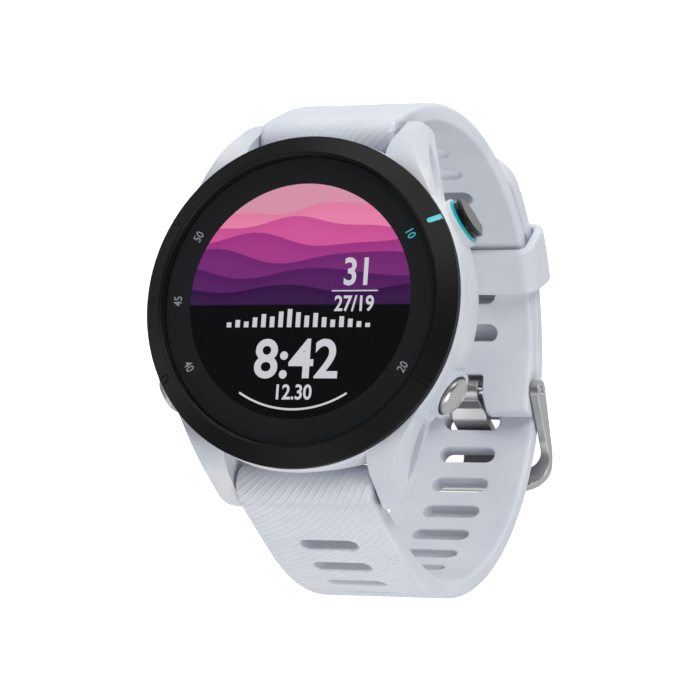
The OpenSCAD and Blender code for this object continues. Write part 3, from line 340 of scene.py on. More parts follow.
@dataclass(frozen=True)
class Silicone(Finish):
    """Moulded silicone, with the band's curved ribs on its outer face and a painted highlight on their
    crests.
    """

    colour: Colour
    ribbed: bool = True
    rib_pitch: float = 0.82
    rib_depth: float = 0.12
    centre_x: float = -18.8
    centre_s: float = 92.1
    fade_low: float = 14.0
    fade_high: float = 27.0
    ridge: Point2 = (0.04, 0.17)
    outer_face: Point2 = (1.12, 1.19)
    cross_share: float = 0.5
    cross_side: Point2 = (-4.5, 4.0)
    cross_reach: Point2 = (24.0, 16.0)
    tube_reach: Point2 = (19.0, 15.0)

    def arcs(self, w: Wiring, x: bpy.types.NodeSocket, s: bpy.types.NodeSocket,
             centre_x: float) -> bpy.types.NodeSocket:
        """Wire one family of thin ribs on arcs about one point.

        Args:
            w: The material being wired.
            x: Distance across the strap.
            s: Distance along it.
            centre_x: The arcs' centre, across the strap.

        Returns:
            Height from 0 to 1.
        """
        dx = w.minus(x, centre_x)
        ds = w.minus(s, self.centre_s)
        phase = w.math("FRACT", w.math("DIVIDE", w.reach(dx, ds), self.rib_pitch))
        return w.span(w.math("ABSOLUTE", w.minus(phase, 0.5)), *self.ridge, 1.0, 0.0)

    def ribs(self, w: Wiring) -> bpy.types.NodeSocket:
        """Wire the ribs' height: two crossing families of arcs, on the outer face only.

        Args:
            w: The material being wired.

        Returns:
            Height from 0 to 1.
        """
        x, s, h = w.split(w.attribute("lay"))
        main = self.arcs(w, x, s, self.centre_x)
        side = -1.0 if self.centre_x > 0 else 1.0
        far = w.span(w.times(x, side), *self.cross_side, 0.0, self.cross_share)
        low = w.span(s, *(self.centre_s - reach for reach in self.cross_reach), 1.0, 0.25)
        cross = w.times(self.arcs(w, x, s, -self.centre_x), w.times(far, low))
        ridge = w.math("MAXIMUM", main, cross)
        shown = w.times(w.span(s, self.fade_low, self.fade_high), w.span(h, *self.outer_face))
        tube = w.span(s, *(self.centre_s - reach for reach in self.tube_reach), 1.0, 0.5)
        return w.times(w.times(ridge, shown), tube)

    def wire(self, w: Wiring) -> None:
        """Wire the material.

        Args:
            w: Its wiring, just begun.
        """
        cloud = w.noise(0.12, 2.0)
        fine = w.noise(7.0, 4.0)
        dusk = tuple(c * f for c, f in zip(self.colour, (0.93, 0.945, 0.965)))
        colour = w.blend(w.span(cloud, 0.35, 0.65), self.colour, dusk)
        height = fine
        depth = 0.008
        if self.ribbed:
            ribs = self.ribs(w)
            # Painted highlight: the rib crests are lightened in the colour, standing in for light falling on
            # them.
            crest_highlight = tuple(min(0.92, c * 1.22) for c in self.colour)
            colour = w.blend(w.times(ribs, 0.9), colour, crest_highlight)
            height = w.plus(w.times(ribs, 0.92), w.times(fine, 0.08))
            depth = self.rib_depth
        w.set(Base_Color=colour, Roughness=w.plus(w.times(fine, 0.12), 0.48))
        w.set(IOR=1.42, Specular_IOR_Level=0.42, Sheen_Weight=0.12, Sheen_Roughness=0.5)
        w.set(Subsurface_Weight=0.12, Subsurface_Scale=0.0006, Subsurface_Radius=(1.0, 0.9, 0.8))
        w.relief(height, depth, 1.0)


@dataclass(frozen=True)
class Steel(Finish):
    """Stainless steel, polished or with a brushed lay."""

    colour: Colour = (0.62, 0.62, 0.63)
    brush: Brush = Brush.POLISHED
    roughness: float = 0.16
    edge_mm: float = 0.12

    def lay(self, w: Wiring) -> bpy.types.NodeSocket:
        """Wire coordinates stretched along the brushing.

        Args:
            w: The material being wired.

        Returns:
            The vector socket.
        """
        x, y, z = w.split(w.object_mm())
        if self.brush is Brush.ALONG_X:
            return w.put("ShaderNodeCombineXYZ", w.times(x, 0.04), y, z)
        if self.brush is Brush.ALONG_Y:
            return w.put("ShaderNodeCombineXYZ", x, w.times(y, 0.04), w.times(z, 0.25))
        if self.brush is Brush.SPUN:
            return w.put("ShaderNodeCombineXYZ", w.reach(x, y), 0.0, w.times(z, 0.05))
        return w.object_mm()

    def wire(self, w: Wiring) -> None:
        """Wire the material.

        Args:
            w: Its wiring, just begun.
        """
        streak = w.noise(9.0, 5.0, 0.6, self.lay(w))
        worn = w.noise(0.5, 3.0)
        brushed = self.brush is not Brush.POLISHED
        low = shade(self.colour, 0.93)
        w.set(Base_Color=w.blend(w.span(streak, 0.3, 0.7), low if brushed else self.colour, self.colour))
        spread = 0.1 if brushed else 0.04
        rough = w.plus(w.times(streak, spread), w.times(worn, 0.05))
        w.set(Metallic=1.0, Roughness=w.plus(rough, self.roughness - spread / 2))
        w.relief(streak, 0.0012 if brushed else 0.0004, 0.5, self.edge_mm)


@dataclass(frozen=True)
class Pane(Finish):
    """Clear or tinted glass or film."""

    colour: Colour = (0.97, 0.98, 0.99)
    roughness: float = 0.03
    smoke: float = 0.0

    def wire(self, w: Wiring) -> None:
        """Wire the material.

        Args:
            w: Its wiring, just begun.
        """
        smear = w.noise(0.15, 3.0)
        if self.smoke:
            deep = shade(self.colour, 1.0 - self.smoke)
            w.set(Base_Color=w.blend(w.span(smear, 0.3, 0.7), deep, shade(deep, 0.9)))
            w.set(Roughness=w.plus(w.times(smear, 0.04), self.roughness))
            w.set(IOR=1.5, Transmission_Weight=0.3, Coat_Weight=0.6, Coat_Roughness=0.03)
            w.relief(smear, 0.0004, 0.3)
            return
        w.tree.nodes.remove(w.shader)
        clear = w.put("ShaderNodeBsdfTransparent", w.blend(smear, self.colour, shade(self.colour, 0.99)))
        shine = w.put("ShaderNodeBsdfGlossy", Roughness=w.plus(w.times(smear, 0.03), self.roughness))
        facing = w.times(w.put("ShaderNodeFresnel", IOR=1.45), 0.55)
        w.feed(w.output, w.put("ShaderNodeMixShader", facing, clear, shine))


@dataclass(frozen=True)
class Waves(Finish):
    """A lit display: soft bands of colour above, black below, inside one circle."""

    bands: Sequence[Colour] = (srgb(234, 128, 166), srgb(208, 84, 150), srgb(164, 54, 132),
                               srgb(116, 36, 112), srgb(84, 26, 94), srgb(54, 16, 70))
    # Each swing of a band's edge: radians to the millimetre, their change and the shift with each band, and
    # its height.
    swings: Sequence[Sequence[float]] = ((0.2, 0.035, 1.7, 0.75), (0.62, -0.05, 2.3, 0.28))
    top: float = 13.2
    drop: float = 1.95
    strength: float = 1.0

    def wire(self, w: Wiring) -> None:
        """Wire the material.

        Args:
            w: Its wiring, just begun.
        """
        x, y, _ = w.split(w.object_mm())
        colour = srgb(222, 150, 172)
        for index, band in enumerate(self.bands):
            level = self.top - self.drop * (index + 1)
            edge = []
            for rate, change, phase, height in self.swings:
                turn = w.plus(w.times(x, rate + change * index), phase * index)
                edge.append(w.times(w.math("SINE", turn), height))
            below = w.minus(w.plus(w.plus(*edge), level), y)
            share = w.span(below, -0.05, 0.05)
            glow = w.span(below, 0.0, self.drop * 0.9, 0.0, 0.28)
            lit = w.blend(glow, band, tuple(min(1.0, c * 1.3 + 0.02) for c in band))
            colour = w.blend(share, colour, lit)
        ground = w.minus(self.top - self.drop * (len(self.bands) + 1), y)
        colour = w.blend(w.span(ground, -0.12, 0.12), colour, (0.0012, 0.0012, 0.0016))
        power = w.plus(w.times(w.pixels(), 0.03), self.strength)
        w.set(Base_Color=(0.002, 0.002, 0.002, 1.0), Roughness=0.35, Specular_IOR_Level=0.05,
              Emission_Color=colour, Emission_Strength=power)


@dataclass(frozen=True)
class Lit(Finish):
    """Glowing ink: a display's lit characters on its fine pixel grid; on the printed ring numbers it is a
    painted glow.
    """

    colour: Colour
    strength: float = 1.0

    def wire(self, w: Wiring) -> None:
        """Wire the material.

        Args:
            w: Its wiring, just begun.
        """
        soft = w.blend(w.span(w.pixels(), -1.0, 1.0), self.colour, shade(self.colour, 0.95))
        w.set(Base_Color=(0.01, 0.01, 0.01, 1.0), Roughness=0.4, Emission_Color=soft,
              Emission_Strength=self.strength)


@dataclass(frozen=True)
class Board(Finish):
    """Circuit board or flex with copper tracks under its mask."""

    mask: Colour
    track: Colour

    def wire(self, w: Wiring) -> None:
        """Wire the material.

        Args:
            w: Its wiring, just begun.
        """
        cells = w.add("ShaderNodeTexVoronoi", feature="DISTANCE_TO_EDGE")
        w.fill(cells, Vector=w.object_mm(), Scale=0.7)
        tracks = w.span(cells.outputs["Distance"], 0.03, 0.07, 1.0, 0.0)
        w.set(Base_Color=w.blend(tracks, self.mask, self.track), IOR=1.5,
              Roughness=w.plus(w.times(w.noise(6.0), 0.15), 0.3))
        w.relief(tracks, 0.03, 0.6)


# ---------------------------------------------------------------- mesh making

def put_in_scene(name: str, data: bpy.types.ID) -> bpy.types.Object:
    """Make an object and link it to the scene.

    Args:
        name: Its name.
        data: Its mesh, curve, camera or light.

    Returns:
        The object.
    """
    made = bpy.data.objects.new(name, data)
    bpy.context.scene.collection.objects.link(made)
    return made


def settle(piece: bpy.types.Object) -> None:
    """Replace a piece's mesh by its evaluated mesh, and drop its modifiers.

    Args:
        piece: The piece.
    """
    bpy.context.view_layer.update()
    graph = bpy.context.evaluated_depsgraph_get()
    mesh = bpy.data.meshes.new_from_object(piece.evaluated_get(graph), preserve_all_data_layers=True,
                                           depsgraph=graph)
    piece.modifiers.clear()
    old = piece.data
    piece.data = mesh
    bpy.data.meshes.remove(old)


def stitch(bm: bmesh.types.BMesh, rings: Sequence[Sequence[bmesh.types.BMVert]], looped: bool = False,
           whole: bool = True) -> None:
    """Join rows of points, each to the next, with four-sided faces.

    Args:
        bm: The mesh that they are in.
        rings: The rows, all of one length.
        looped: Whether the last row joins the first.
        whole: Whether each row is a closed ring.
    """
    following = rings[1:] + rings[:1] if looped else rings[1:]
    for one, two in zip(rings, following):
        count = len(one)
        for i in range(count if whole else count - 1):
            j = (i + 1) % count
            bm.faces.new((one[i], one[j], two[j], two[i]))


def add_piece(name: str, bm: bmesh.types.BMesh, body: str, finish: bpy.types.Material,
              replaces: Sequence[str] = (), smooth: float = 50.0) -> bpy.types.Object:
    """Turn a mesh in millimetres into a piece that rides on a body.

    Args:
        name: The piece's name.
        bm: The mesh, in millimetres in the row frame; it is freed.
        body: The body that the piece rides on.
        finish: Its material.
        replaces: CAD nodes that it stands for.
        smooth: Edges that turn more than this many degrees stay sharp.

    Returns:
        The piece.
    """
    bmesh.ops.scale(bm, vec=(MM, MM, MM), verts=bm.verts)
    bmesh.ops.recalc_face_normals(bm, faces=bm.faces)
    limit = math.radians(smooth)
    for face in bm.faces:
        face.smooth = True
    for edge in bm.edges:
        edge.smooth = len(edge.link_faces) == 2 and edge.calc_face_angle(0.0) < limit
    mesh = bpy.data.meshes.new(name)
    bm.to_mesh(mesh)
    bm.free()
    mesh.materials.append(finish)
    piece = put_in_scene(name, mesh)
    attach(piece, body)
    if replaces:
        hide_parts(*replaces)
    LOG.info("%s: %d faces on %s", name, len(mesh.polygons), body)
    return piece


def arc(centre: Point2, radius: float, start: float, end: float, steps: int) -> list[Point2]:
    """Points on an arc between two angles in degrees, both ends included."""
    turns = [math.radians(start + (end - start) * k / steps) for k in range(steps + 1)]
    return [(centre[0] + radius * math.cos(t), centre[1] + radius * math.sin(t)) for t in turns]


def rectangle(left: float, right: float, low: float, high: float) -> list[Point2]:
    """A rectangle's corners, solid on the left."""
    return [(left, low), (right, low), (right, high), (left, high)]


def inset(loop: Sequence[Point2], depth: float) -> tuple[list[Point2], list[Point2]]:
    """Move a loop's points in from the edge, with mitred corners.

    Args:
        loop: Points with the solid on the left.
        depth: Distance moved.

    Returns:
        The moved points, and for each the outward step of a unit offset.
    """
    moved, steps = [], []
    for index, (x, y) in enumerate(loop):
        before, after = loop[index - 1], loop[(index + 1) % len(loop)]
        a = Vector((x - before[0], y - before[1])).normalized()
        b = Vector((after[0] - x, after[1] - y)).normalized()
        na, nb = Vector((a.y, -a.x)), Vector((b.y, -b.x))
        out = (na + nb) / max(0.4, 1.0 + na.dot(nb))
        moved.append((x - out.x * depth, y - out.y * depth))
        steps.append((out.x, out.y))
    return moved, steps


def lathe(bm: bmesh.types.BMesh, profile: Sequence[Point2], centre: Point2, steps: int,
          lay: Callable[[float, float], Point2] | None = None) -> None:
    """Turn a closed profile about a line along X.

    Args:
        bm: The mesh that it joins.
        profile: Points (x, r), closed.
        centre: (Y, Z) of the line.
        steps: Faces round the turn.
        lay: Gives the place along the strap and the height from its middle, from a turn in radians and a
            radius, for the attribute lay.
    """
    rings = []
    layer = bm.verts.layers.float_vector.get("lay")
    for k in range(steps):
        t = 2 * math.pi * k / steps
        ring = [bm.verts.new((x, centre[0] + r * math.cos(t), centre[1] + r * math.sin(t)))
                for x, r in profile]
        if lay:
            for vert, (x, r) in zip(ring, profile):
                vert[layer] = (x, *lay(t, r))
        rings.append(ring)
    stitch(bm, rings, looped=True)


def slab(bm: bmesh.types.BMesh, outline: Sequence[Point2], low: float, high: float) -> None:
    """Add a flat prism.

    Args:
        bm: The mesh that it joins.
        outline: Its corners in X and Y.
        low: Its lower Z.
        high: Its upper Z.
    """
    lower = [bm.verts.new((x, y, low)) for x, y in outline]
    upper = [bm.verts.new((x, y, high)) for x, y in outline]
    bm.faces.new(lower[::-1])
    bm.faces.new(upper)
    stitch(bm, [lower, upper])


# ---------------------------------------------------------------- the band

@dataclass(frozen=True)
class StrapSizes:
    """One strap's way round the loop; lengths along it run from the loop's lowest point."""

    side: float
    out_radius: float
    straight: float
    width: float = 17.6
    thick: float = 2.4
    bar: Point2 = (21.3, 3.9)
    knuckle: float = 2.7
    bore: float = 0.85
    exit_angle: float = 25.5
    loop_z: float = -22.5
    edge: float = 0.7
    lip: float = 0.35
    wrap: float = 24.0
    swell: float = 0.0
    swell_from: float = 0.0
    swell_to: float = 0.0


@dataclass
class StrapPath:
    """Where a strap's sheet lies: on the closed arc, the flank, the straight and round the knuckle."""

    sizes: StrapSizes
    wrap_thinning: float = 0.5
    wrap_taper: float = 0.4
    wrap_sink: float = 0.4

    def __post_init__(self) -> None:
        """Work out the path."""
        sizes = self.sizes
        turn = math.radians(sizes.exit_angle)
        self.out = Vector((math.cos(turn), math.sin(turn)))
        down = Vector((math.sin(turn), -math.cos(turn)))
        root = Vector(sizes.bar) + self.out * sizes.knuckle + down * sizes.straight
        middle = Vector((0.0, sizes.loop_z))
        gap = root - middle
        r = sizes.out_radius
        self.flank = (gap.length_squared - r * r) / (2 * (gap.dot(self.out) - r))
        self.centre = root - self.out * self.flank
        lean = middle - self.centre
        self.join = math.atan2(lean.x, -lean.y)
        half = sizes.thick / 2
        self.mid, self.flank_mid, self.turn_mid = r - half, self.flank - half, sizes.knuckle - half
        self.s_join = self.mid * self.join
        self.s_flank = self.s_join + self.flank_mid * (math.pi / 2 + turn - self.join)
        self.s_root = self.s_flank + sizes.straight
        self.s_end = self.s_root + self.turn_mid * math.radians(sizes.wrap)

    def place(self, x: float, s: float, h: float) -> Vector:
        """Put a point of the sheet in the row frame.

        Args:
            x: Across the strap.
            s: Along it, on its middle surface.
            h: Out of it, from the middle surface.

        Returns:
            The point, in millimetres.
        """
        sizes = self.sizes
        if sizes.swell and h < 0.0 and s < sizes.swell_from:
            part = min(1.0, (sizes.swell_from - s) / (sizes.swell_from - sizes.swell_to))
            h *= 1.0 + 2.0 * sizes.swell / sizes.thick * part * part * (3.0 - 2.0 * part)
        if s <= self.s_join:
            a, r, c = s / self.mid, self.mid + h, Vector((0.0, sizes.loop_z))
        elif s <= self.s_flank:
            a, r, c = self.join + (s - self.s_join) / self.flank_mid, self.flank_mid + h, self.centre
        elif s <= self.s_root:
            a = math.pi / 2 + math.radians(sizes.exit_angle)
            r = self.flank_mid + h
            c = self.centre + Vector((-self.out.y, self.out.x)) * (s - self.s_flank)
        else:
            over = (s - self.s_root) / self.turn_mid
            a = math.pi / 2 + math.radians(sizes.exit_angle) + over
            thin = 1.0 - self.wrap_thinning * min(1.0, over / self.wrap_taper)
            r = sizes.knuckle - (sizes.thick / 2 - h) * thin - self.wrap_sink * over * over
            c = Vector(sizes.bar)
        point = c + Vector((math.sin(a), -math.cos(a))) * r
        return Vector((x, point.x * sizes.side, point.y))


@dataclass(frozen=True)
class Skin:
    """A closed sheet of one thickness with rounded edges and holes, laid on a strap's path.

    Each loop of its plan is an edge in (x, s) with the solid on its left, and the edge's radius at each
    point; the first is the outer one. The draft is how much nearer a hole's sides stand at the outer face,
    and inner_lip the inner face's edge radius as a share of the outer face's.
    """

    path: StrapPath
    loops: Sequence[tuple[list[Point2], list[float]]]
    draft: float = 0.0
    inner_lip: float = 0.6
    pitch: float = 0.85
    grid_reach: float = 8.6
    grid_ends: Point2 = (0.4, -0.3)
    edge_clearance: float = 0.42
    corner_chords: int = 5

    def plan(self) -> tuple:
        """Lay out the flat sheet's triangles inside the inset edges.

        Returns:
            Points, triangles, and each loop's point numbers, outward steps and edge radii.
        """
        points, edges, rims = [], [], []
        for loop, lips in self.loops:
            steps = inset(loop, 1.0)[1]
            first = len(points)
            for (x, s), (ox, os), lip in zip(loop, steps, lips):
                points.append((x - ox * lip, s - os * lip))
            count = len(loop)
            edges += [(first + i, first + (i + 1) % count) for i in range(count)]
            rims.append((list(range(first, first + count)), steps, lips))
        rim_xy = np.array(points)
        a, b = rim_xy[[e[0] for e in edges]], rim_xy[[e[1] for e in edges]]

        def inside(test: np.ndarray, margin: float) -> np.ndarray:
            """Say which points are inside the sheet and clear of its edges.

            Args:
                test: The points.
                margin: How far from an edge they have to be.

            Returns:
                True or False for each point.
            """
            x, y = test[:, None, 0], test[:, None, 1]
            cross = (a[:, 1] > y) != (b[:, 1] > y)
            rise = np.where(b[:, 1] == a[:, 1], 1e-9, b[:, 1] - a[:, 1])
            hit = cross & (x < (b[:, 0] - a[:, 0]) * (y - a[:, 1]) / rise + a[:, 0])
            good = hit.sum(1) % 2 == 1
            if margin:
                ab = b - a
                t = ((test[:, None] - a) * ab).sum(2) / np.maximum((ab * ab).sum(1), 1e-12)
                near = a + ab * np.clip(t, 0, 1)[..., None]
                good &= (((test[:, None] - near) ** 2).sum(2)).min(1) > margin * margin
            return good

        low, high = rim_xy.min(0), rim_xy.max(0)
        rows = np.arange(low[1] + self.grid_ends[0], high[1] + self.grid_ends[1], self.pitch)
        across = np.arange(-self.grid_reach, self.grid_reach, self.pitch)
        grid = np.array([(x + (self.pitch / 2 if k % 2 else 0.0), s)
                         for k, s in enumerate(rows) for x in across])
        grid = grid[inside(grid, self.pitch * self.edge_clearance)]
        every = [Vector(p) for p in points] + [Vector(p) for p in grid.tolist()]
        out, _, faces, source, _, _ = delaunay_2d_cdt(every, edges, [], 0, 1e-6)
        where = {}
        for new, olds in enumerate(source):
            for old in olds:
                where[old] = new
        xy = np.array([tuple(v) for v in out])
        tris = np.array(faces)
        keep = inside(xy[tris].mean(1), 0.0)
        rims = [([where[i] for i in ids], steps, lips) for ids, steps, lips in rims]
        return xy, tris[keep], rims

    def build(self) -> bmesh.types.BMesh:
        """Make the sheet.

        Returns:
            The mesh in millimetres, with its place on the strap in the attribute lay.
        """
        xy, tris, rims = self.plan()
        half = self.path.sizes.thick / 2
        bm = bmesh.new()
        lay = bm.verts.layers.float_vector.new("lay")

        def put(x: float, s: float, h: float) -> bmesh.types.BMVert:
            """Add one point of the sheet.

            Args:
                x: Across the strap.
                s: Along it.
                h: Out of it.

            Returns:
                The point.
            """
            vert = bm.verts.new(self.path.place(x, s, h))
            vert[lay] = (x, s, h)
            return vert

        used = sorted(set(tris.flatten().tolist()))
        upper = {i: put(xy[i][0], xy[i][1], half) for i in used}
        lower = {i: put(xy[i][0], xy[i][1], -half) for i in used}
        for i, j, k in tris.tolist():
            bm.faces.new((upper[i], upper[j], upper[k]))
            bm.faces.new((lower[k], lower[j], lower[i]))
        share, count = self.inner_lip, self.corner_chords
        turns = [math.radians(90 / count * k) for k in range(1, count + 1)]
        bends = [(math.sin(t), 1 - math.cos(t), 1) for t in turns]
        bends += [(1 - share * (1 - math.sin(t)), share * (1 - math.cos(t)), -1) for t in reversed(turns)]
        for number, (ids, steps, lips) in enumerate(rims):
            draft = self.draft if number else 0.0
            if draft:
                for i, o in zip(ids, steps):
                    x, s, h = upper[i][lay]
                    upper[i][lay] = (x + o[0] * draft, s + o[1] * draft, h)
                    upper[i].co = self.path.place(x + o[0] * draft, s + o[1] * draft, h)
            rings = [[upper[i] for i in ids]]
            for out, sink, sign in bends:
                ring = []
                for i, o, lip in zip(ids, steps, lips):
                    h = sign * (half - lip * sink)
                    reach = lip * out + draft * (h / half + 1) / 2
                    ring.append(put(xy[i][0] + o[0] * reach, xy[i][1] + o[1] * reach, h))
                rings.append(ring)
            stitch(bm, rings + [[lower[i] for i in ids]])
        return bm


def stadium(x: float, s: float, length: float, width: float, steps: int = 14) -> list[Point2]:
    """A slot's edge across the strap, solid on the left.

    Args:
        x: Its centre across the strap.
        s: Its centre along the strap.
        length: Its length across the strap.
        width: Its width along the strap.
        steps: Chords in each rounded end.

    Returns:
        The points.
    """
    r = width / 2
    reach = length / 2 - r
    return arc((x + reach, s), r, 90, -90, steps) + arc((x - reach, s), r, 270, 90, steps)


def run(start: Point2, end: Point2, pitch: float = 1.0) -> list[Point2]:
    """Points along a line, its end left out.

    Args:
        start: The line's start, which is the first point.
        end: Its end.
        pitch: Spacing aimed at.

    Returns:
        The points.
    """
    count = max(1, round(math.dist(start, end) / pitch))
    return [(start[0] + (end[0] - start[0]) * k / count, start[1] + (end[1] - start[1]) * k / count)
            for k in range(count)]


@dataclass(frozen=True)
class Slots:
    """A row of slots along a strap."""

    first: float
    pitch: float
    low: int
    high: int
    length: float = 7.9
    width: float = 2.4

    def loops(self) -> list[list[Point2]]:
        """Give the edge of each slot."""
        return [stadium(0.0, self.first + i * self.pitch, self.length, self.width)
                for i in range(self.low, self.high + 1)]


@dataclass
class Strap:
    """One half of the band. Its slots' sides stand nearer by the draft at the outer face."""

    name: str
    node: str
    sizes: StrapSizes
    slots: Slots
    finish: bpy.types.Material
    draft: float = 0.0
    skin_gap: float = 0.004
    bore_edge: float = 0.15
    round_steps: int = 96
    corner_chords: int = 6

    def __post_init__(self) -> None:
        """Work out the strap's path and its half width."""
        self.path, self.half = StrapPath(self.sizes), self.sizes.width / 2

    def outline(self) -> tuple[list[Point2], list[float]]:
        """Give the strap's outer edge, and the edge radius at each of its points."""
        raise NotImplementedError

    def knuckle(self, bm: bmesh.types.BMesh) -> None:
        """Add the tube-shaped end round the spring bar.

        Args:
            bm: The mesh that it joins.
        """
        sizes = self.sizes
        r, e, w = sizes.knuckle - self.skin_gap, sizes.edge, self.half
        mouth, wall = (w, sizes.bore + self.bore_edge), (w - self.bore_edge, sizes.bore)
        right = arc((w - e, r - e), e, 90, 0, self.corner_chords) + [mouth, wall]
        profile = right + [(-x, y) for x, y in reversed(right)]
        root = math.pi / 2 + math.radians(sizes.exit_angle)

        def along(turn: float, radius: float) -> Point2:
            """Carry the strap's length and its outer face on round the tube.

            Args:
                turn: Angle round the bar in radians.
                radius: Distance from the bar's axis.

            Returns:
                The place along the strap, and the height from its middle.
            """
            a = math.atan2(sizes.side * math.cos(turn), -math.sin(turn))
            over = (a - root + math.pi / 2) % (2 * math.pi) - math.pi / 2
            height = sizes.thick / 2 if radius > sizes.bore + sizes.edge else 0.0
            return self.path.s_root + sizes.knuckle * over, height

        lathe(bm, profile, (sizes.bar[0] * sizes.side, sizes.bar[1]), self.round_steps, along)

    def build(self) -> bpy.types.Object:
        """Make the strap.

        Returns:
            The piece.
        """
        loops = [self.outline()] + [(hole, [self.sizes.lip] * len(hole)) for hole in self.slots.loops()]
        bm = Skin(self.path, loops, self.draft).build()
        self.knuckle(bm)
        self.ends(bm)
        return add_piece(self.name, bm, "band", self.finish, [self.node])

    def ends(self, bm: bmesh.types.BMesh) -> None:
        """Add what the strap has at its other end; nothing by default."""


@dataclass
class LongStrap(Strap):
    """The half with the slots and the rounded tail, held at 6 o'clock."""

    tail_angle: float = 74.0
    corner: float = 8.0

    def outline(self) -> tuple[list[Point2], list[float]]:
        """Give the plan, with a rounded tail.

        Returns:
            The outer edge, and the edge radius at each of its points.
        """
        w, c = self.half, self.corner
        tail = -self.path.mid * math.radians(self.tail_angle)
        end = self.path.s_end
        loop = arc((c - w, tail + c), c, 180, 270, 16) + arc((w - c, tail + c), c, 270, 360, 16)
        loop += run((w, tail + c + 1.0), (w, end)) + run((w, end), (-w, end)) + run((-w, end), (-w, tail + c))
        return loop, [self.sizes.edge] * len(loop)


@dataclass
class ShortStrap(Strap):
    """The half with the buckle, held at 12 o'clock."""

    end_angle: float = 9.4
    pin_angle: float = 2.2
    pin_radius: float = 26.2
    notch: float = 2.15
    notch_corner: float = 0.6
    pin_bore: float = 0.74
    end_knuckle: float = 1.45
    end_edge: float = 0.3
    end_gap: float = 0.02
    notch_top: float = 2.2
    notch_neck: float = 0.8
    notch_flare: float = 0.85
    notch_lip: float = 0.35

    def outline(self) -> tuple[list[Point2], list[float]]:
        """Give the plan, with the tongue's notch in its end.

        Returns:
            The outer edge, and the edge radius at each of its points.
        """
        w, n, c = self.half, self.notch, self.notch_corner
        low = -self.path.mid * math.radians(self.end_angle)
        pin = -self.path.mid * math.radians(self.pin_angle)
        top, neck, end = pin + self.notch_top, pin - self.notch_neck, self.path.s_end
        flare = n + self.notch_flare
        left = run((-w, low), (-flare, low))
        mouth = run((-flare, low), (-n, neck)) + run((-n, neck), (-n, top - c))
        mouth += arc((-n + c, top - c), c, 180, 90, 6)[:-1] + run((-n + c, top), (n - c, top))
        mouth += arc((n - c, top - c), c, 90, 0, 6)[:-1] + run((n, top - c), (n, neck))
        mouth += run((n, neck), (flare, low))
        right = run((flare, low), (w, low))
        rest = run((w, low), (w, end)) + run((w, end), (-w, end)) + run((-w, end), (-w, low))
        loop = left + mouth + right + rest
        lips, count = [self.sizes.edge] * len(loop), len(mouth) + 1
        lips[len(left):len(left) + count] = [self.notch_lip] * count
        return loop, lips

    def ends(self, bm: bmesh.types.BMesh) -> None:
        """Add the two tube-shaped ends round the buckle's pin.

        Args:
            bm: The mesh that they join.
        """
        turn = math.radians(-self.pin_angle)
        centre = (self.pin_radius * math.sin(turn), self.sizes.loop_z - self.pin_radius * math.cos(turn))
        r, b, e = self.end_knuckle, self.pin_bore, self.end_edge
        for sign in (-1, 1):
            left, right = sorted((sign * (self.notch + self.end_gap), sign * (self.half - self.end_edge)))
            profile = arc((left + e, r - e), e, 180, 90, 5) + arc((right - e, r - e), e, 90, 0, 5)
            lathe(bm, profile + [(right, b), (left, b)], centre, self.round_steps // 2)


@dataclass(frozen=True)
class KeeperLoop:
    """The loose loop that holds the long strap's tail."""

    inner: float = 25.05
    outer: float = 30.65
    half: float = 9.05
    thick: float = 1.3
    centre_angle: float = 35.3
    width: float = 7.3
    corner: float = 2.0
    inner_corner: float = 0.7
    edge: float = 0.6
    loop_z: float = -22.5
    chords: int = 8

    def frame_line(self, grow: float, corner: float) -> list[Point2]:
        """Draw a rounded rectangle round the straps.

        Args:
            grow: Distance out from the inner faces.
            corner: Corner radius.

        Returns:
            Points (radius, x), the same number at every size.
        """
        low, high, half = self.inner - grow, self.outer + grow, self.half + grow
        marks = [((high - corner, half - corner), 0), ((low + corner, half - corner), 90),
                 ((low + corner, corner - half), 180), ((high - corner, corner - half), 270)]
        corners = [arc(c, corner, a, a + 90, self.chords) for c, a in marks]
        line = []
        for index, bend in enumerate(corners):
            following = corners[(index + 1) % 4][0]
            line += bend
            line += [(bend[-1][0] + (following[0] - bend[-1][0]) * k / self.chords,
                      bend[-1][1] + (following[1] - bend[-1][1]) * k / self.chords)
                     for k in range(1, self.chords)]
        return line

    def section(self) -> list[Point2]:
        """Give the wall's section: share of the thickness, and place across the width.

        Returns:
            The points.
        """
        w, t, e = self.width / 2, self.thick, self.edge
        loop = arc((t - e, w - e), e, 0, 90, 6) + arc((e, w - e), e, 90, 180, 6)
        loop += arc((e, e - w), e, 180, 270, 6) + arc((t - e, e - w), e, 270, 360, 6)
        flat = [(t, (w - e) * (k / 4 - 1)) for k in range(1, 8)]
        return [(x / t, y) for x, y in loop + flat]

    def build(self, finish: bpy.types.Material) -> bpy.types.Object:
        """Make the loop.

        Args:
            finish: Its material.

        Returns:
            The piece.
        """
        inside = self.frame_line(0.0, self.inner_corner)
        outside = self.frame_line(self.thick, self.corner)
        middle = (self.inner + self.outer) / 2
        centre = math.radians(self.centre_angle)
        bm = bmesh.new()
        rings = []
        for (r0, x0), (r1, x1) in zip(inside, outside):
            ring = []
            for share, across in self.section():
                r, x = r0 + (r1 - r0) * share, x0 + (x1 - x0) * share
                a = centre + across / middle
                ring.append(bm.verts.new((x, r * math.sin(a), self.loop_z - r * math.cos(a))))
            rings.append(ring)
        stitch(bm, rings, looped=True)
        return add_piece("KeeperLoop", bm, "keeper", finish, ["keeper_loop"])


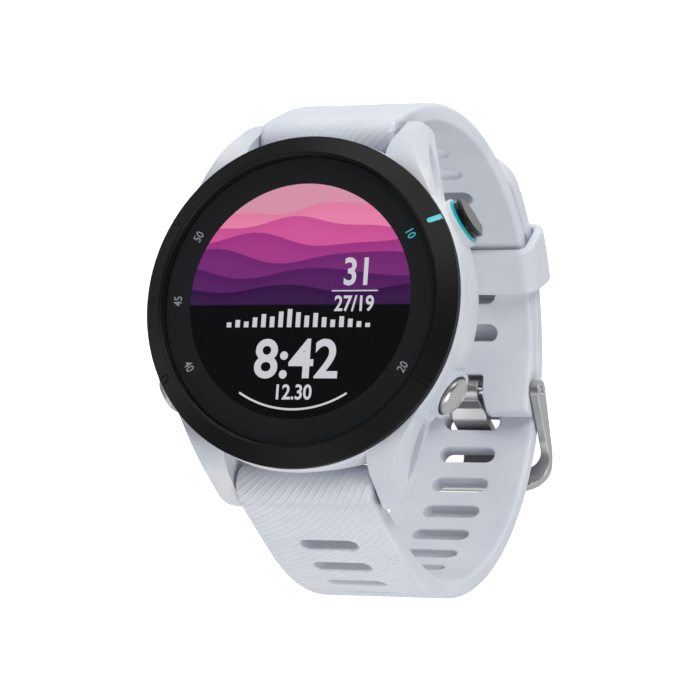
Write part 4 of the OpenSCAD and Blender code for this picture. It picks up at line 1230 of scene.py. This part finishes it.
@dataclass(frozen=True)
class Band:
    """The band: two straps and the keeper; the steel that joins them is not made here."""

    long_sizes: StrapSizes = StrapSizes(side=-1.0, out_radius=30.4, straight=11.2, bore=0.95)
    short_sizes: StrapSizes = StrapSizes(side=1.0, out_radius=27.7, straight=4.5, bore=0.95, swell=0.5,
                                         swell_from=5.5, swell_to=0.6)
    first_long_slot: float = 10.3
    first_short_slot: float = 15.2
    long_draft: float = 0.2
    post_left: float = -6.2
    post_width: float = 1.25
    post_room: float = 0.62
    post_reach: Point2 = (-4.0, 0.2)
    post_lean: float = -15.0

    def cut_release_way(self, strap: bpy.types.Object) -> None:
        """Cut the way for the release knob's post through the short strap's knuckle.

        Args:
            strap: The short strap.
        """
        room = self.post_room
        left, right = self.post_left - room, self.post_left + self.post_width + room
        bm = bmesh.new()
        slab(bm, rectangle(left, right, -room, room), *self.post_reach)
        matrix = Matrix.Translation((0.0, *self.short_sizes.bar))
        matrix @= Matrix.Rotation(math.radians(self.post_lean), 4, "X")
        bmesh.ops.transform(bm, matrix=matrix, verts=bm.verts)
        bmesh.ops.scale(bm, vec=(MM, MM, MM), verts=bm.verts)
        mesh = bpy.data.meshes.new("release_way")
        bm.to_mesh(mesh)
        bm.free()
        tool = put_in_scene("release_way", mesh)
        cut = strap.modifiers.new("release_way", "BOOLEAN")
        cut.operation, cut.solver, cut.object = "DIFFERENCE", "EXACT", tool
        cut.use_self = True
        settle(strap)
        bpy.data.objects.remove(tool)

    def build(self) -> None:
        """Make the band's pieces."""
        long_mid = self.long_sizes.out_radius - self.long_sizes.thick / 2
        short_mid = self.short_sizes.out_radius - self.short_sizes.thick / 2
        long_slots = Slots(long_mid * math.radians(self.first_long_slot), pitch=5.06, low=-7, high=12)
        short_slots = Slots(short_mid * math.radians(self.first_short_slot), pitch=5.42, low=0, high=9)
        long_finish = Silicone("silicone_long", STRAP_COLOUR).build()
        short_finish = Silicone("silicone_short", STRAP_COLOUR, centre_x=18.8, centre_s=87.1).build()
        LongStrap("LongStrap", "long_strap", self.long_sizes, long_slots, long_finish,
                  self.long_draft).build()
        short = ShortStrap("ShortStrap", "short_strap", self.short_sizes, short_slots, short_finish)
        self.cut_release_way(short.build())
        KeeperLoop().build(Silicone("silicone_keeper", STRAP_COLOUR, ribbed=False).build())


@dataclass(frozen=True)
class ReleaseSpring:
    """The release bar's coil spring, as the CAD shapes it; nothing here shortens it as the tip is drawn in.
    """

    node: str = "upper_bar_spring"
    travel: float = 1.2

    def build(self, finish: bpy.types.Material) -> bpy.types.Object:
        """Make the spring from its CAD mesh.

        Args:
            finish: Its material.

        Returns:
            The piece.
        """
        bm = bmesh.new()
        bm.from_mesh(frame["nodes"][self.node].data)
        bmesh.ops.remove_doubles(bm, verts=bm.verts, dist=0.001 * MM)
        bmesh.ops.scale(bm, vec=(1 / MM, 1 / MM, 1 / MM), verts=bm.verts)
        piece = add_piece("ReleaseSpring", bm, "band", finish, [self.node])
        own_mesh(piece)
        return piece


# ---------------------------------------------------------------- what repeats

@dataclass(frozen=True)
class RoundRow:
    """Copies of one small mesh round a circle, laid by a geometry node tree."""

    count: int
    radius: float
    start: float
    place: Matrix

    def tree(self, name: str, finish: bpy.types.Material) -> tuple[bpy.types.NodeTree, dict[str, str]]:
        """Build the tree.

        Args:
            name: The tree's name.
            finish: Material of the copies.

        Returns:
            The tree, and its inputs' identifiers by name.
        """
        tree = bpy.data.node_groups.new(name, "GeometryNodeTree")
        kinds = (("Unit", "NodeSocketGeometry"), ("Count", "NodeSocketInt"), ("Radius", "NodeSocketFloat"),
                 ("Start Angle", "NodeSocketFloat"))
        sockets = {label: tree.interface.new_socket(label, in_out="INPUT", socket_type=kind).identifier
                   for label, kind in kinds}
        tree.interface.new_socket("Copies", in_out="OUTPUT", socket_type="NodeSocketGeometry")

        nodes = Nodes(tree)
        given = nodes.add("NodeGroupInput").outputs
        step = nodes.math("DIVIDE", 2 * math.pi, given["Count"])
        turn = nodes.plus(nodes.times(nodes.put("GeometryNodeInputIndex"), step), given["Start Angle"])
        spot = [nodes.times(nodes.math(way, turn), given["Radius"]) for way in ("COSINE", "SINE")]
        points = nodes.put("GeometryNodeSetPosition", nodes.put("GeometryNodeMeshLine", Count=given["Count"]),
                           Position=nodes.put("ShaderNodeCombineXYZ", *spot))
        facing = nodes.put("FunctionNodeEulerToRotation", nodes.put("ShaderNodeCombineXYZ", Z=turn))
        copies = nodes.put("GeometryNodeInstanceOnPoints", points, Instance=given["Unit"], Rotation=facing)
        real = nodes.put("GeometryNodeRealizeInstances", copies)
        dressed = nodes.put("GeometryNodeSetMaterial", real, Material=finish)
        nodes.feed(nodes.add("NodeGroupOutput").inputs[0], dressed)
        return tree, sockets

    def lay(self, name: str, unit: bmesh.types.BMesh, finish: bpy.types.Material, body: str, slot: str,
            replaces: Sequence[str] = ()) -> bpy.types.Object:
        """Lay the copies as one piece.

        Args:
            name: The piece's name.
            unit: One copy, in millimetres, with the circle's way out along its X; it is freed.
            finish: Its material.
            body: The body that it rides on.
            slot: Not used.
            replaces: CAD nodes that it stands for.

        Returns:
            The piece.
        """
        mesh = bpy.data.meshes.new(name + "_unit")
        unit.to_mesh(mesh)
        unit.free()
        host = put_in_scene(name + "_host", mesh)
        tree, sockets = self.tree(name + "_row", finish)
        row = host.modifiers.new("row", "NODES")
        row.node_group = tree
        row[sockets["Count"]], row[sockets["Radius"]] = self.count, self.radius
        row[sockets["Start Angle"]] = math.radians(self.start)
        settle(host)
        bm = bmesh.new()
        bm.from_mesh(host.data)
        bpy.data.objects.remove(host)
        bmesh.ops.transform(bm, matrix=self.place, verts=bm.verts)
        return add_piece(name, bm, body, finish, replaces, 35)


def turned(bm: bmesh.types.BMesh, rings: Sequence[tuple[float, float, float]], steps: int = 36,
           lobes: int = 6) -> None:
    """Add a closed shape turned about Z, whose rings may be lobed.

    Args:
        bm: The mesh that it joins.
        rings: For each ring its mean radius, how far its lobes swing from it, and its height.
        steps: Points in each ring.
        lobes: Number of lobes.
    """
    turns = [2 * math.pi * k / steps for k in range(steps)]
    rows = []
    for radius, swing, z in rings:
        reach = [radius + swing * math.cos(lobes * t) for t in turns]
        rows.append([bm.verts.new((r * math.cos(t), r * math.sin(t), z)) for r, t in zip(reach, turns)])
    stitch(bm, rows)
    bm.faces.new(rows[0])
    bm.faces.new(rows[-1][::-1])


@dataclass(frozen=True)
class BackScrews:
    """The four cover screws, with six-lobed sockets and cut threads."""

    count: int = 4
    circle: float = 15.6
    first_angle: float = 45.0
    head: float = 1.0
    head_height: float = 0.6
    head_round: Sequence[Point2] = ((0.16, 0.0), (0.04, 0.05), (0.0, 0.14))
    seat_edge: float = 0.03
    shank: float = 0.49
    neck: float = 0.1
    socket: float = 0.42
    socket_swing: float = 0.0672
    socket_edge: float = 0.04
    depth: float = 0.35
    pitch: float = 0.24
    thread: float = 0.08
    tip: float = 0.12

    def build(self, finish: bpy.types.Material) -> None:
        """Make the screws.

        Args:
            finish: Their material.
        """
        low, high = (corner[2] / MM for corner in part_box("back_screws"))
        seat = low + self.head_height
        rings = [(self.socket, self.socket_swing, low + self.depth),
                 (self.socket, self.socket_swing, low + self.socket_edge),
                 (self.socket + self.socket_edge, self.socket_swing, low)]
        rings += [(self.head - back, 0.0, low + rise) for back, rise in self.head_round]
        rings += [(self.head, 0.0, seat - self.seat_edge), (self.head - self.seat_edge, 0.0, seat)]
        z = seat + self.neck
        rings += [(self.shank, 0.0, seat), (self.shank, 0.0, z)]
        while z + self.pitch < high - self.neck:
            rings += [(self.shank - self.thread, 0.0, z + self.pitch / 2), (self.shank, 0.0, z + self.pitch)]
            z += self.pitch
        rings.append((self.shank - self.tip, 0.0, high))
        unit = bmesh.new()
        turned(unit, rings)
        row = RoundRow(self.count, self.circle, self.first_angle, Matrix.Identity(4))
        row.lay("BackScrews", unit, finish, "watch_case", "steel_small", ["back_screws"])


@dataclass(frozen=True)
class KeyGrip:
    """Facets round the start key's head."""

    count: int = 12
    head: float = 2.55
    angle: float = 30.0
    face: float = 22.25
    axis_z: float = 5.8
    rise: float = 0.05
    low: float = 0.5
    high: float = 0.18
    facet_share: float = 0.74
    sunk_share: float = 0.94
    first_angle: float = 8.0
    chords: int = 6

    def build(self, finish: bpy.types.Material) -> None:
        """Make the facets.

        Args:
            finish: Their material.
        """
        half = math.pi / self.count * self.facet_share
        span = [half * (2 * k / self.chords - 1) for k in range(self.chords + 1)]
        flat, sunk = self.head * math.cos(half) + self.rise, self.head * self.sunk_share
        outer = [(flat - self.head, flat * math.tan(a)) for a in span]
        inner = [(sunk * math.cos(a) - self.head, sunk * math.sin(a)) for a in reversed(span)]
        unit = bmesh.new()
        slab(unit, outer + inner, -self.low, -self.high)
        place = Matrix.Rotation(math.radians(self.angle), 4, "Z")
        place @= Matrix.Translation((self.face, 0.0, self.axis_z)) @ Matrix.Rotation(math.pi / 2, 4, "Y")
        row = RoundRow(self.count, self.head, self.first_angle, place)
        row.lay("StartKeyGrip", unit, finish, "start_key", "key_black")


# ---------------------------------------------------------------- the display

@dataclass(frozen=True)
class DisplayFace:
    """The lit display and the printed ring under the glass."""

    white: bpy.types.Material
    grey: bpy.types.Material
    teal: bpy.types.Material
    radius: float = 14.25
    ring_radius: float = 17.4
    image_levels: Point2 = (11.09, 11.1)
    lit_levels: Point2 = (11.11, 11.12)
    ink_levels: Point2 = (11.1, 11.14)
    ring_text_level: float = 11.15
    ring_text_radius: float = 15.9
    ring_text_size: float = 1.5
    ring_texts: Sequence[tuple[str, float, float]] = (
        ("10", 30.0, -90.0), ("20", -30.0, 90.0), ("50", 150.0, -90.0), ("45", 180.0, -90.0),
        ("40", 210.0, 90.0))
    bar_heights: Sequence[float] = (0.6, 0.9, 0.7, 1.2, 1.6, 1.3, 1.9, 2.2, 1.8, 1.4, 1.7, 1.2, 0.9, 1.3,
                                    1.0, 0.7, 0.5)
    bar_width: float = 0.6
    bar_pitch: float = 1.12
    first_bar: Point2 = (-8.9, -3.2)
    arc_radii: Point2 = (12.95, 13.2)
    arc_angles: Point2 = (238.0, 302.0)

    def number(self, name: str, text: str, size: float, place: Point2, squeeze: float,
               weight: float = 0.05, z: float | None = None, turn: float = 0.0,
               finish: bpy.types.Material | None = None) -> None:
        """Add a flat number.

        Args:
            name: The piece's name.
            text: Its digits.
            size: Height of the font in mm.
            place: Its middle.
            squeeze: Width against height.
            weight: How much the strokes are thickened, in mm.
            z: Its height; the display's when left out.
            turn: Angle in degrees.
            finish: Its material; lit white when left out.
        """
        curve = bpy.data.curves.new(name, "FONT")
        curve.body, curve.size = text, size
        curve.align_x, curve.align_y = "CENTER", "CENTER"
        half = (self.lit_levels[1] - self.lit_levels[0]) / 2
        curve.offset, curve.extrude, curve.resolution_u = weight, half, 5
        source = put_in_scene(name + "_text", curve)
        bpy.context.view_layer.update()
        graph = bpy.context.evaluated_depsgraph_get()
        mesh = bpy.data.meshes.new_from_object(source.evaluated_get(graph))
        bm = bmesh.new()
        bm.from_mesh(mesh)
        bpy.data.objects.remove(source)
        bpy.data.curves.remove(curve)
        bpy.data.meshes.remove(mesh)
        middle = [(min(row) + max(row)) / 2 for row in zip(*(v.co.xy for v in bm.verts))]
        bmesh.ops.translate(bm, vec=(-middle[0], -middle[1], 0), verts=bm.verts)
        matrix = Matrix.Translation((*place, self.lit_levels[0] if z is None else z))
        matrix @= Matrix.Rotation(math.radians(turn), 4, "Z") @ Matrix.Diagonal((squeeze, 1, 1, 1))
        bmesh.ops.transform(bm, matrix=matrix, verts=bm.verts)
        bmesh.ops.remove_doubles(bm, verts=bm.verts, dist=1e-5)
        add_piece(name, bm, "watch_case", finish or self.white, smooth=20)

    def disc(self, name: str, radii: Point2, levels: Point2, finish: bpy.types.Material,
             replaces: Sequence[str] = (), angles: Point2 = (0.0, 360.0), steps: int = 160) -> None:
        """Add a flat ring, disc or arc.

        Args:
            name: The piece's name.
            radii: Inner radius, 0 for a disc, and outer radius.
            levels: Lower and upper height.
            finish: Its material.
            replaces: CAD nodes that it stands for.
            angles: First and last angle in degrees.
            steps: Chords.
        """
        bm = bmesh.new()
        low, high = levels
        whole = angles[1] - angles[0] >= 360
        inner, outer = (arc((0, 0), r, *angles, steps)[:steps if whole else steps + 1] for r in radii)
        if not radii[0]:
            slab(bm, outer, low, high)
        else:
            corners = ((inner, low), (outer, low), (outer, high), (inner, high))
            rings = [[bm.verts.new((*p, z)) for p in points] for points, z in corners]
            stitch(bm, rings, looped=True, whole=whole)
            if not whole:
                bm.faces.new([ring[0] for ring in rings])
                bm.faces.new([ring[-1] for ring in reversed(rings)])
        add_piece(name, bm, "watch_case", finish, replaces, 30)

    def bar(self, name: str, x: float, width: float, low: float, high: float) -> None:
        """Add an upright bar or a rule to the display.

        Args:
            name: The piece's name.
            x: Its middle.
            width: Its width.
            low: Its lower edge.
            high: Its upper edge.
        """
        bm = bmesh.new()
        slab(bm, rectangle(x - width / 2, x + width / 2, low, high), *self.lit_levels)
        add_piece(name, bm, "watch_case", self.white)

    def build(self) -> None:
        """Make the display's pieces."""
        art = Waves("display_waves").build()
        ink = Resin("border_ink", (0.024, 0.0245, 0.0245), Grain.GLOSS, 0.45, 0.0, level=0.1).build()
        self.disc("DisplayImage", (0.0, self.radius), self.image_levels, art)
        self.disc("BorderPrint", (self.radius, self.ring_radius), self.ink_levels, ink,
                  ["lens_bond"])
        self.number("TimeDigits", "8:42", 6.5, (0.15, -7.0), squeeze=0.98, weight=0.13)
        self.number("LargeNumber", "31", 4.6, (7.1, 3.5), squeeze=0.85, weight=0.09)
        self.number("RangeNumber", "27/19", 2.6, (7.1, -0.35), squeeze=0.86)
        self.number("CountNumber", "12.30", 2.5, (0.15, -11.0), squeeze=0.9)
        left, foot = self.first_bar
        for index, rise in enumerate(self.bar_heights):
            self.bar(f"DisplayBar_{index}", left + self.bar_pitch * index, self.bar_width, foot, foot + rise)
        self.bar("DisplayRule", 7.1, width=5.9, low=1.1, high=1.25)
        self.disc("DisplayArc", self.arc_radii, self.lit_levels, self.white,
                  angles=self.arc_angles, steps=60)
        for text, angle, facing in self.ring_texts:
            place = (self.ring_text_radius * math.cos(math.radians(angle)),
                     self.ring_text_radius * math.sin(math.radians(angle)))
            self.number(f"RingNumber_{text}", text, self.ring_text_size, place, squeeze=0.85, weight=0.01,
                        z=self.ring_text_level, turn=angle + facing,
                        finish=self.teal if text == "10" else self.grey)


# ---------------------------------------------------------------- the studio

@dataclass(frozen=True)
class Lamp:
    """A soft rectangular light: its place and size in metres, and its power in watts."""

    name: str
    place: Sequence[float]
    size: Point2
    power: float

    def build(self, aim: Sequence[float]) -> None:
        """Place the light.

        Args:
            aim: What it points at, in metres.
        """
        data = bpy.data.lights.new(self.name, "AREA")
        data.shape, data.size, data.size_y = "RECTANGLE", *self.size
        data.energy = self.power
        way = (Vector(aim) - Vector(self.place)).to_track_quat("-Z", "Y").to_matrix().to_4x4()
        put_in_scene(self.name, data).matrix_world = Matrix.Translation(self.place) @ way


@dataclass(frozen=True)
class Studio:
    """Camera, floor, surroundings and lights."""

    camera_rows: Sequence[Sequence[float]] = (
        (0.9245199, 0.00003252, 0.38113378, 0.15520049717),
        (0.06633471, 0.98472384, -0.16099275, -0.06855980311),
        (-0.37531675, 0.1741234, 0.91039463, 0.3651459349),
        (0.0, 0.0, 0.0, 1.0))
    lens: float = 169.76636
    sensor: float = 36.0
    clip: Point2 = (0.01, 10.0)
    floor_gap: float = 0.0002
    floor_reach: float = 3.0
    floor_seen: float = 0.93
    floor_mirrored: float = 0.3
    sky_colour: Colour = (0.96, 0.98, 1.0)
    sky_level: float = 0.08
    sky_mirrored: float = 0.1
    aim: Sequence[float] = (0.0, 0.0, -0.02)
    lamps: Sequence[Lamp] = (
        Lamp("back", (0.0, 0.75, 0.35), (0.6, 0.4), 4.4),
        Lamp("right_back", (0.5, 0.5, 0.5), (0.4, 0.4), 4.0),
        Lamp("right_front", (0.5, -0.5, 0.3), (0.4, 0.4), 2.8),
        Lamp("front", (-0.25, -0.5, 0.6), (0.5, 0.4), 1.55),
        Lamp("low", (-0.1, -0.7, 0.28), (0.6, 0.3), 1.5),
        Lamp("left", (-0.75, -0.15, 0.25), (0.3, 0.6), 1.0))

    def camera(self) -> None:
        """Place the camera."""
        data = bpy.data.cameras.new("camera")
        data.lens, data.sensor_width, data.sensor_fit = self.lens, self.sensor, "HORIZONTAL"
        data.clip_start, data.clip_end = self.clip
        camera = put_in_scene("camera", data)
        camera.matrix_world = Matrix(self.camera_rows)
        bpy.context.scene.camera = camera
        bpy.context.scene.view_settings.view_transform = "Standard"

    def floor(self) -> None:
        """Lay the floor."""
        w = Wiring("floor_white")
        w.tree.nodes.remove(w.shader)
        diffuse = w.put("ShaderNodeBsdfDiffuse", w.blend(w.noise(0.05), (0.5, 0.5, 0.5), (0.52, 0.52, 0.52)))
        path = w.add("ShaderNodeLightPath").outputs
        mirrored = w.times(path["Is Glossy Ray"], self.floor_mirrored)
        direct = w.plus(path["Is Camera Ray"], path["Is Transmission Ray"])
        seen = w.times(w.math("ADD", direct, mirrored, clamp=True), self.floor_seen)
        glow = w.put("ShaderNodeEmission", WHITE, seen)
        w.feed(w.output, w.put("ShaderNodeAddShader", diffuse, glow))
        bm = bmesh.new()
        low = min(CAD_BOUNDS[0][2], CAD_BOUNDS[1][2]) - self.floor_gap
        corners = rectangle(-self.floor_reach, self.floor_reach, -self.floor_reach, self.floor_reach)
        bm.faces.new([bm.verts.new((*corner, low)) for corner in corners])
        mesh = bpy.data.meshes.new("floor")
        bm.to_mesh(mesh)
        bm.free()
        mesh.materials.append(w.material)
        put_in_scene("floor", mesh)

    def world(self) -> None:
        """Light the surroundings: white to the camera, a soft grey sky to everything else."""
        world = bpy.data.worlds.new("studio")
        bpy.context.scene.world = world
        world.use_nodes = True
        nodes = Nodes(world.node_tree)
        path = nodes.add("ShaderNodeLightPath").outputs
        level = nodes.put("ShaderNodeMapRange", path["Is Glossy Ray"], 0.0, 1.0, self.sky_level,
                          self.sky_mirrored)
        sky = nodes.put("ShaderNodeBackground", (*self.sky_colour, 1.0), level)
        seen = nodes.put("ShaderNodeBackground", WHITE)
        both = nodes.put("ShaderNodeMixShader", path["Is Camera Ray"], sky, seen)
        nodes.feed(nodes.add("ShaderNodeOutputWorld").inputs[0], both)

    def build(self) -> None:
        """Make the studio."""
        self.camera()
        self.floor()
        self.world()
        for lamp in self.lamps:
            lamp.build(self.aim)


# ---------------------------------------------------------------- everything

def finishes() -> dict[str, bpy.types.Material]:
    """Build the finish of every material slot.

    Returns:
        Materials by slot name.
    """
    styles = {
        "case_resin": Resin("case_resin_satin", CASE_COLOUR, Grain.SATIN, 0.44, 0.14),
        "bezel_resin": Resin("bezel_resin_matt", (0.0048, 0.0048, 0.005), Grain.MATT, 0.42, 0.15, level=0.09),
        "accent_resin": Resin("accent_resin_teal", (0.0, 0.42, 0.46), Grain.GLOSS, 0.3, 0.03),
        "cover_glass": Pane("cover_glass_clear"),
        "bond_film": Resin("bond_film_black", (0.006, 0.006, 0.007), Grain.GLOSS, 0.35, 0.0),
        "display": Resin("display_black", (0.004, 0.004, 0.005), Grain.GLOSS, 0.3, 0.0),
        "carrier_resin": Resin("carrier_resin_dark", (0.02, 0.02, 0.022), Grain.MATT, 0.55, 0.1),
        "gilt": Steel("gilt_contact", (0.78, 0.58, 0.28), Brush.POLISHED, 0.2, 0.05),
        "board": Board("board_mask", (0.006, 0.06, 0.03), (0.02, 0.14, 0.06)),
        "chip": Resin("chip_black", (0.015, 0.015, 0.016), Grain.MATT, 0.5, 0.05),
        "cell_foil": Steel("cell_foil_brushed", (0.55, 0.55, 0.57), Brush.ALONG_X, 0.35, 0.2),
        "motor_can": Steel("motor_can_steel", (0.6, 0.6, 0.6), Brush.ALONG_X, 0.25, 0.1),
        "tungsten": Steel("tungsten_grey", (0.3, 0.3, 0.31), Brush.SPUN, 0.35, 0.1),
        "back_resin": Resin("back_resin_grey", (0.10, 0.105, 0.115), Grain.MATT, 0.45, 0.2),
        "seal_rubber": Resin("seal_rubber_black", (0.012, 0.012, 0.012), Grain.MATT, 0.6, 0.05),
        "steel_small": Steel("steel_small_turned", (0.6, 0.6, 0.61), Brush.SPUN, 0.22, 0.06),
        "sensor_glass": Pane("sensor_glass_smoked", (0.05, 0.05, 0.06), 0.05, 0.6),
        "led": Lit("led_green", (0.1, 0.8, 0.25), 0.35),
        "flex": Board("flex_amber", (0.32, 0.13, 0.03), (0.45, 0.22, 0.06)),
        "key_black": Resin("key_black_satin", (0.006, 0.006, 0.0065), Grain.GLOSS, 0.24, 0.08, level=0.4),
        "key_steel": Steel("key_steel_brushed", (0.46, 0.46, 0.465), Brush.ALONG_Y, 0.3, 0.12),
        "buckle_steel": Steel("buckle_steel_satin", (0.5, 0.5, 0.505), Brush.ALONG_X, 0.36, 0.25),
    }
    made = {slot: style.build() for slot, style in styles.items()}
    made["strap_silicone"] = Silicone("silicone_plain", STRAP_COLOUR, ribbed=False).build()
    return made


def dress_frame(made: dict[str, bpy.types.Material]) -> None:
    """Give every CAD node its slot's finish.

    Args:
        made: Materials by slot name.
    """
    for part in frame["record"]["subparts"]:
        node = frame["nodes"][part["node"]]
        if not node.material_slots:
            node.data.materials.append(None)
        for place in node.material_slots:
            place.material = made[part["material_slot"]]
        LOG.info("%s: finish %s", part["node"], part["material_slot"])


def main() -> None:
    """Build the whole scene."""
    logging.basicConfig(level=logging.INFO, format="%(name)s %(message)s")
    made = finishes()
    Studio().build()
    dress_frame(made)
    white = Lit("display_white", (0.9, 0.9, 0.93), 0.72).build()
    # The printed ring numbers are given emission: a painted glow, not light from any lamp.
    grey = Lit("ring_print_grey_painted_glow", srgb(150, 152, 156), 0.8).build()
    teal = Lit("ring_print_teal_painted_glow", srgb(60, 190, 200), 0.9).build()
    DisplayFace(white, grey, teal).build()
    BackScrews().build(made["steel_small"])
    KeyGrip().build(made["key_black"])
    Band().build()
    ReleaseSpring().build(made["steel_small"])
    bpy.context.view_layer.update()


if __name__ == "__main__":
    main()
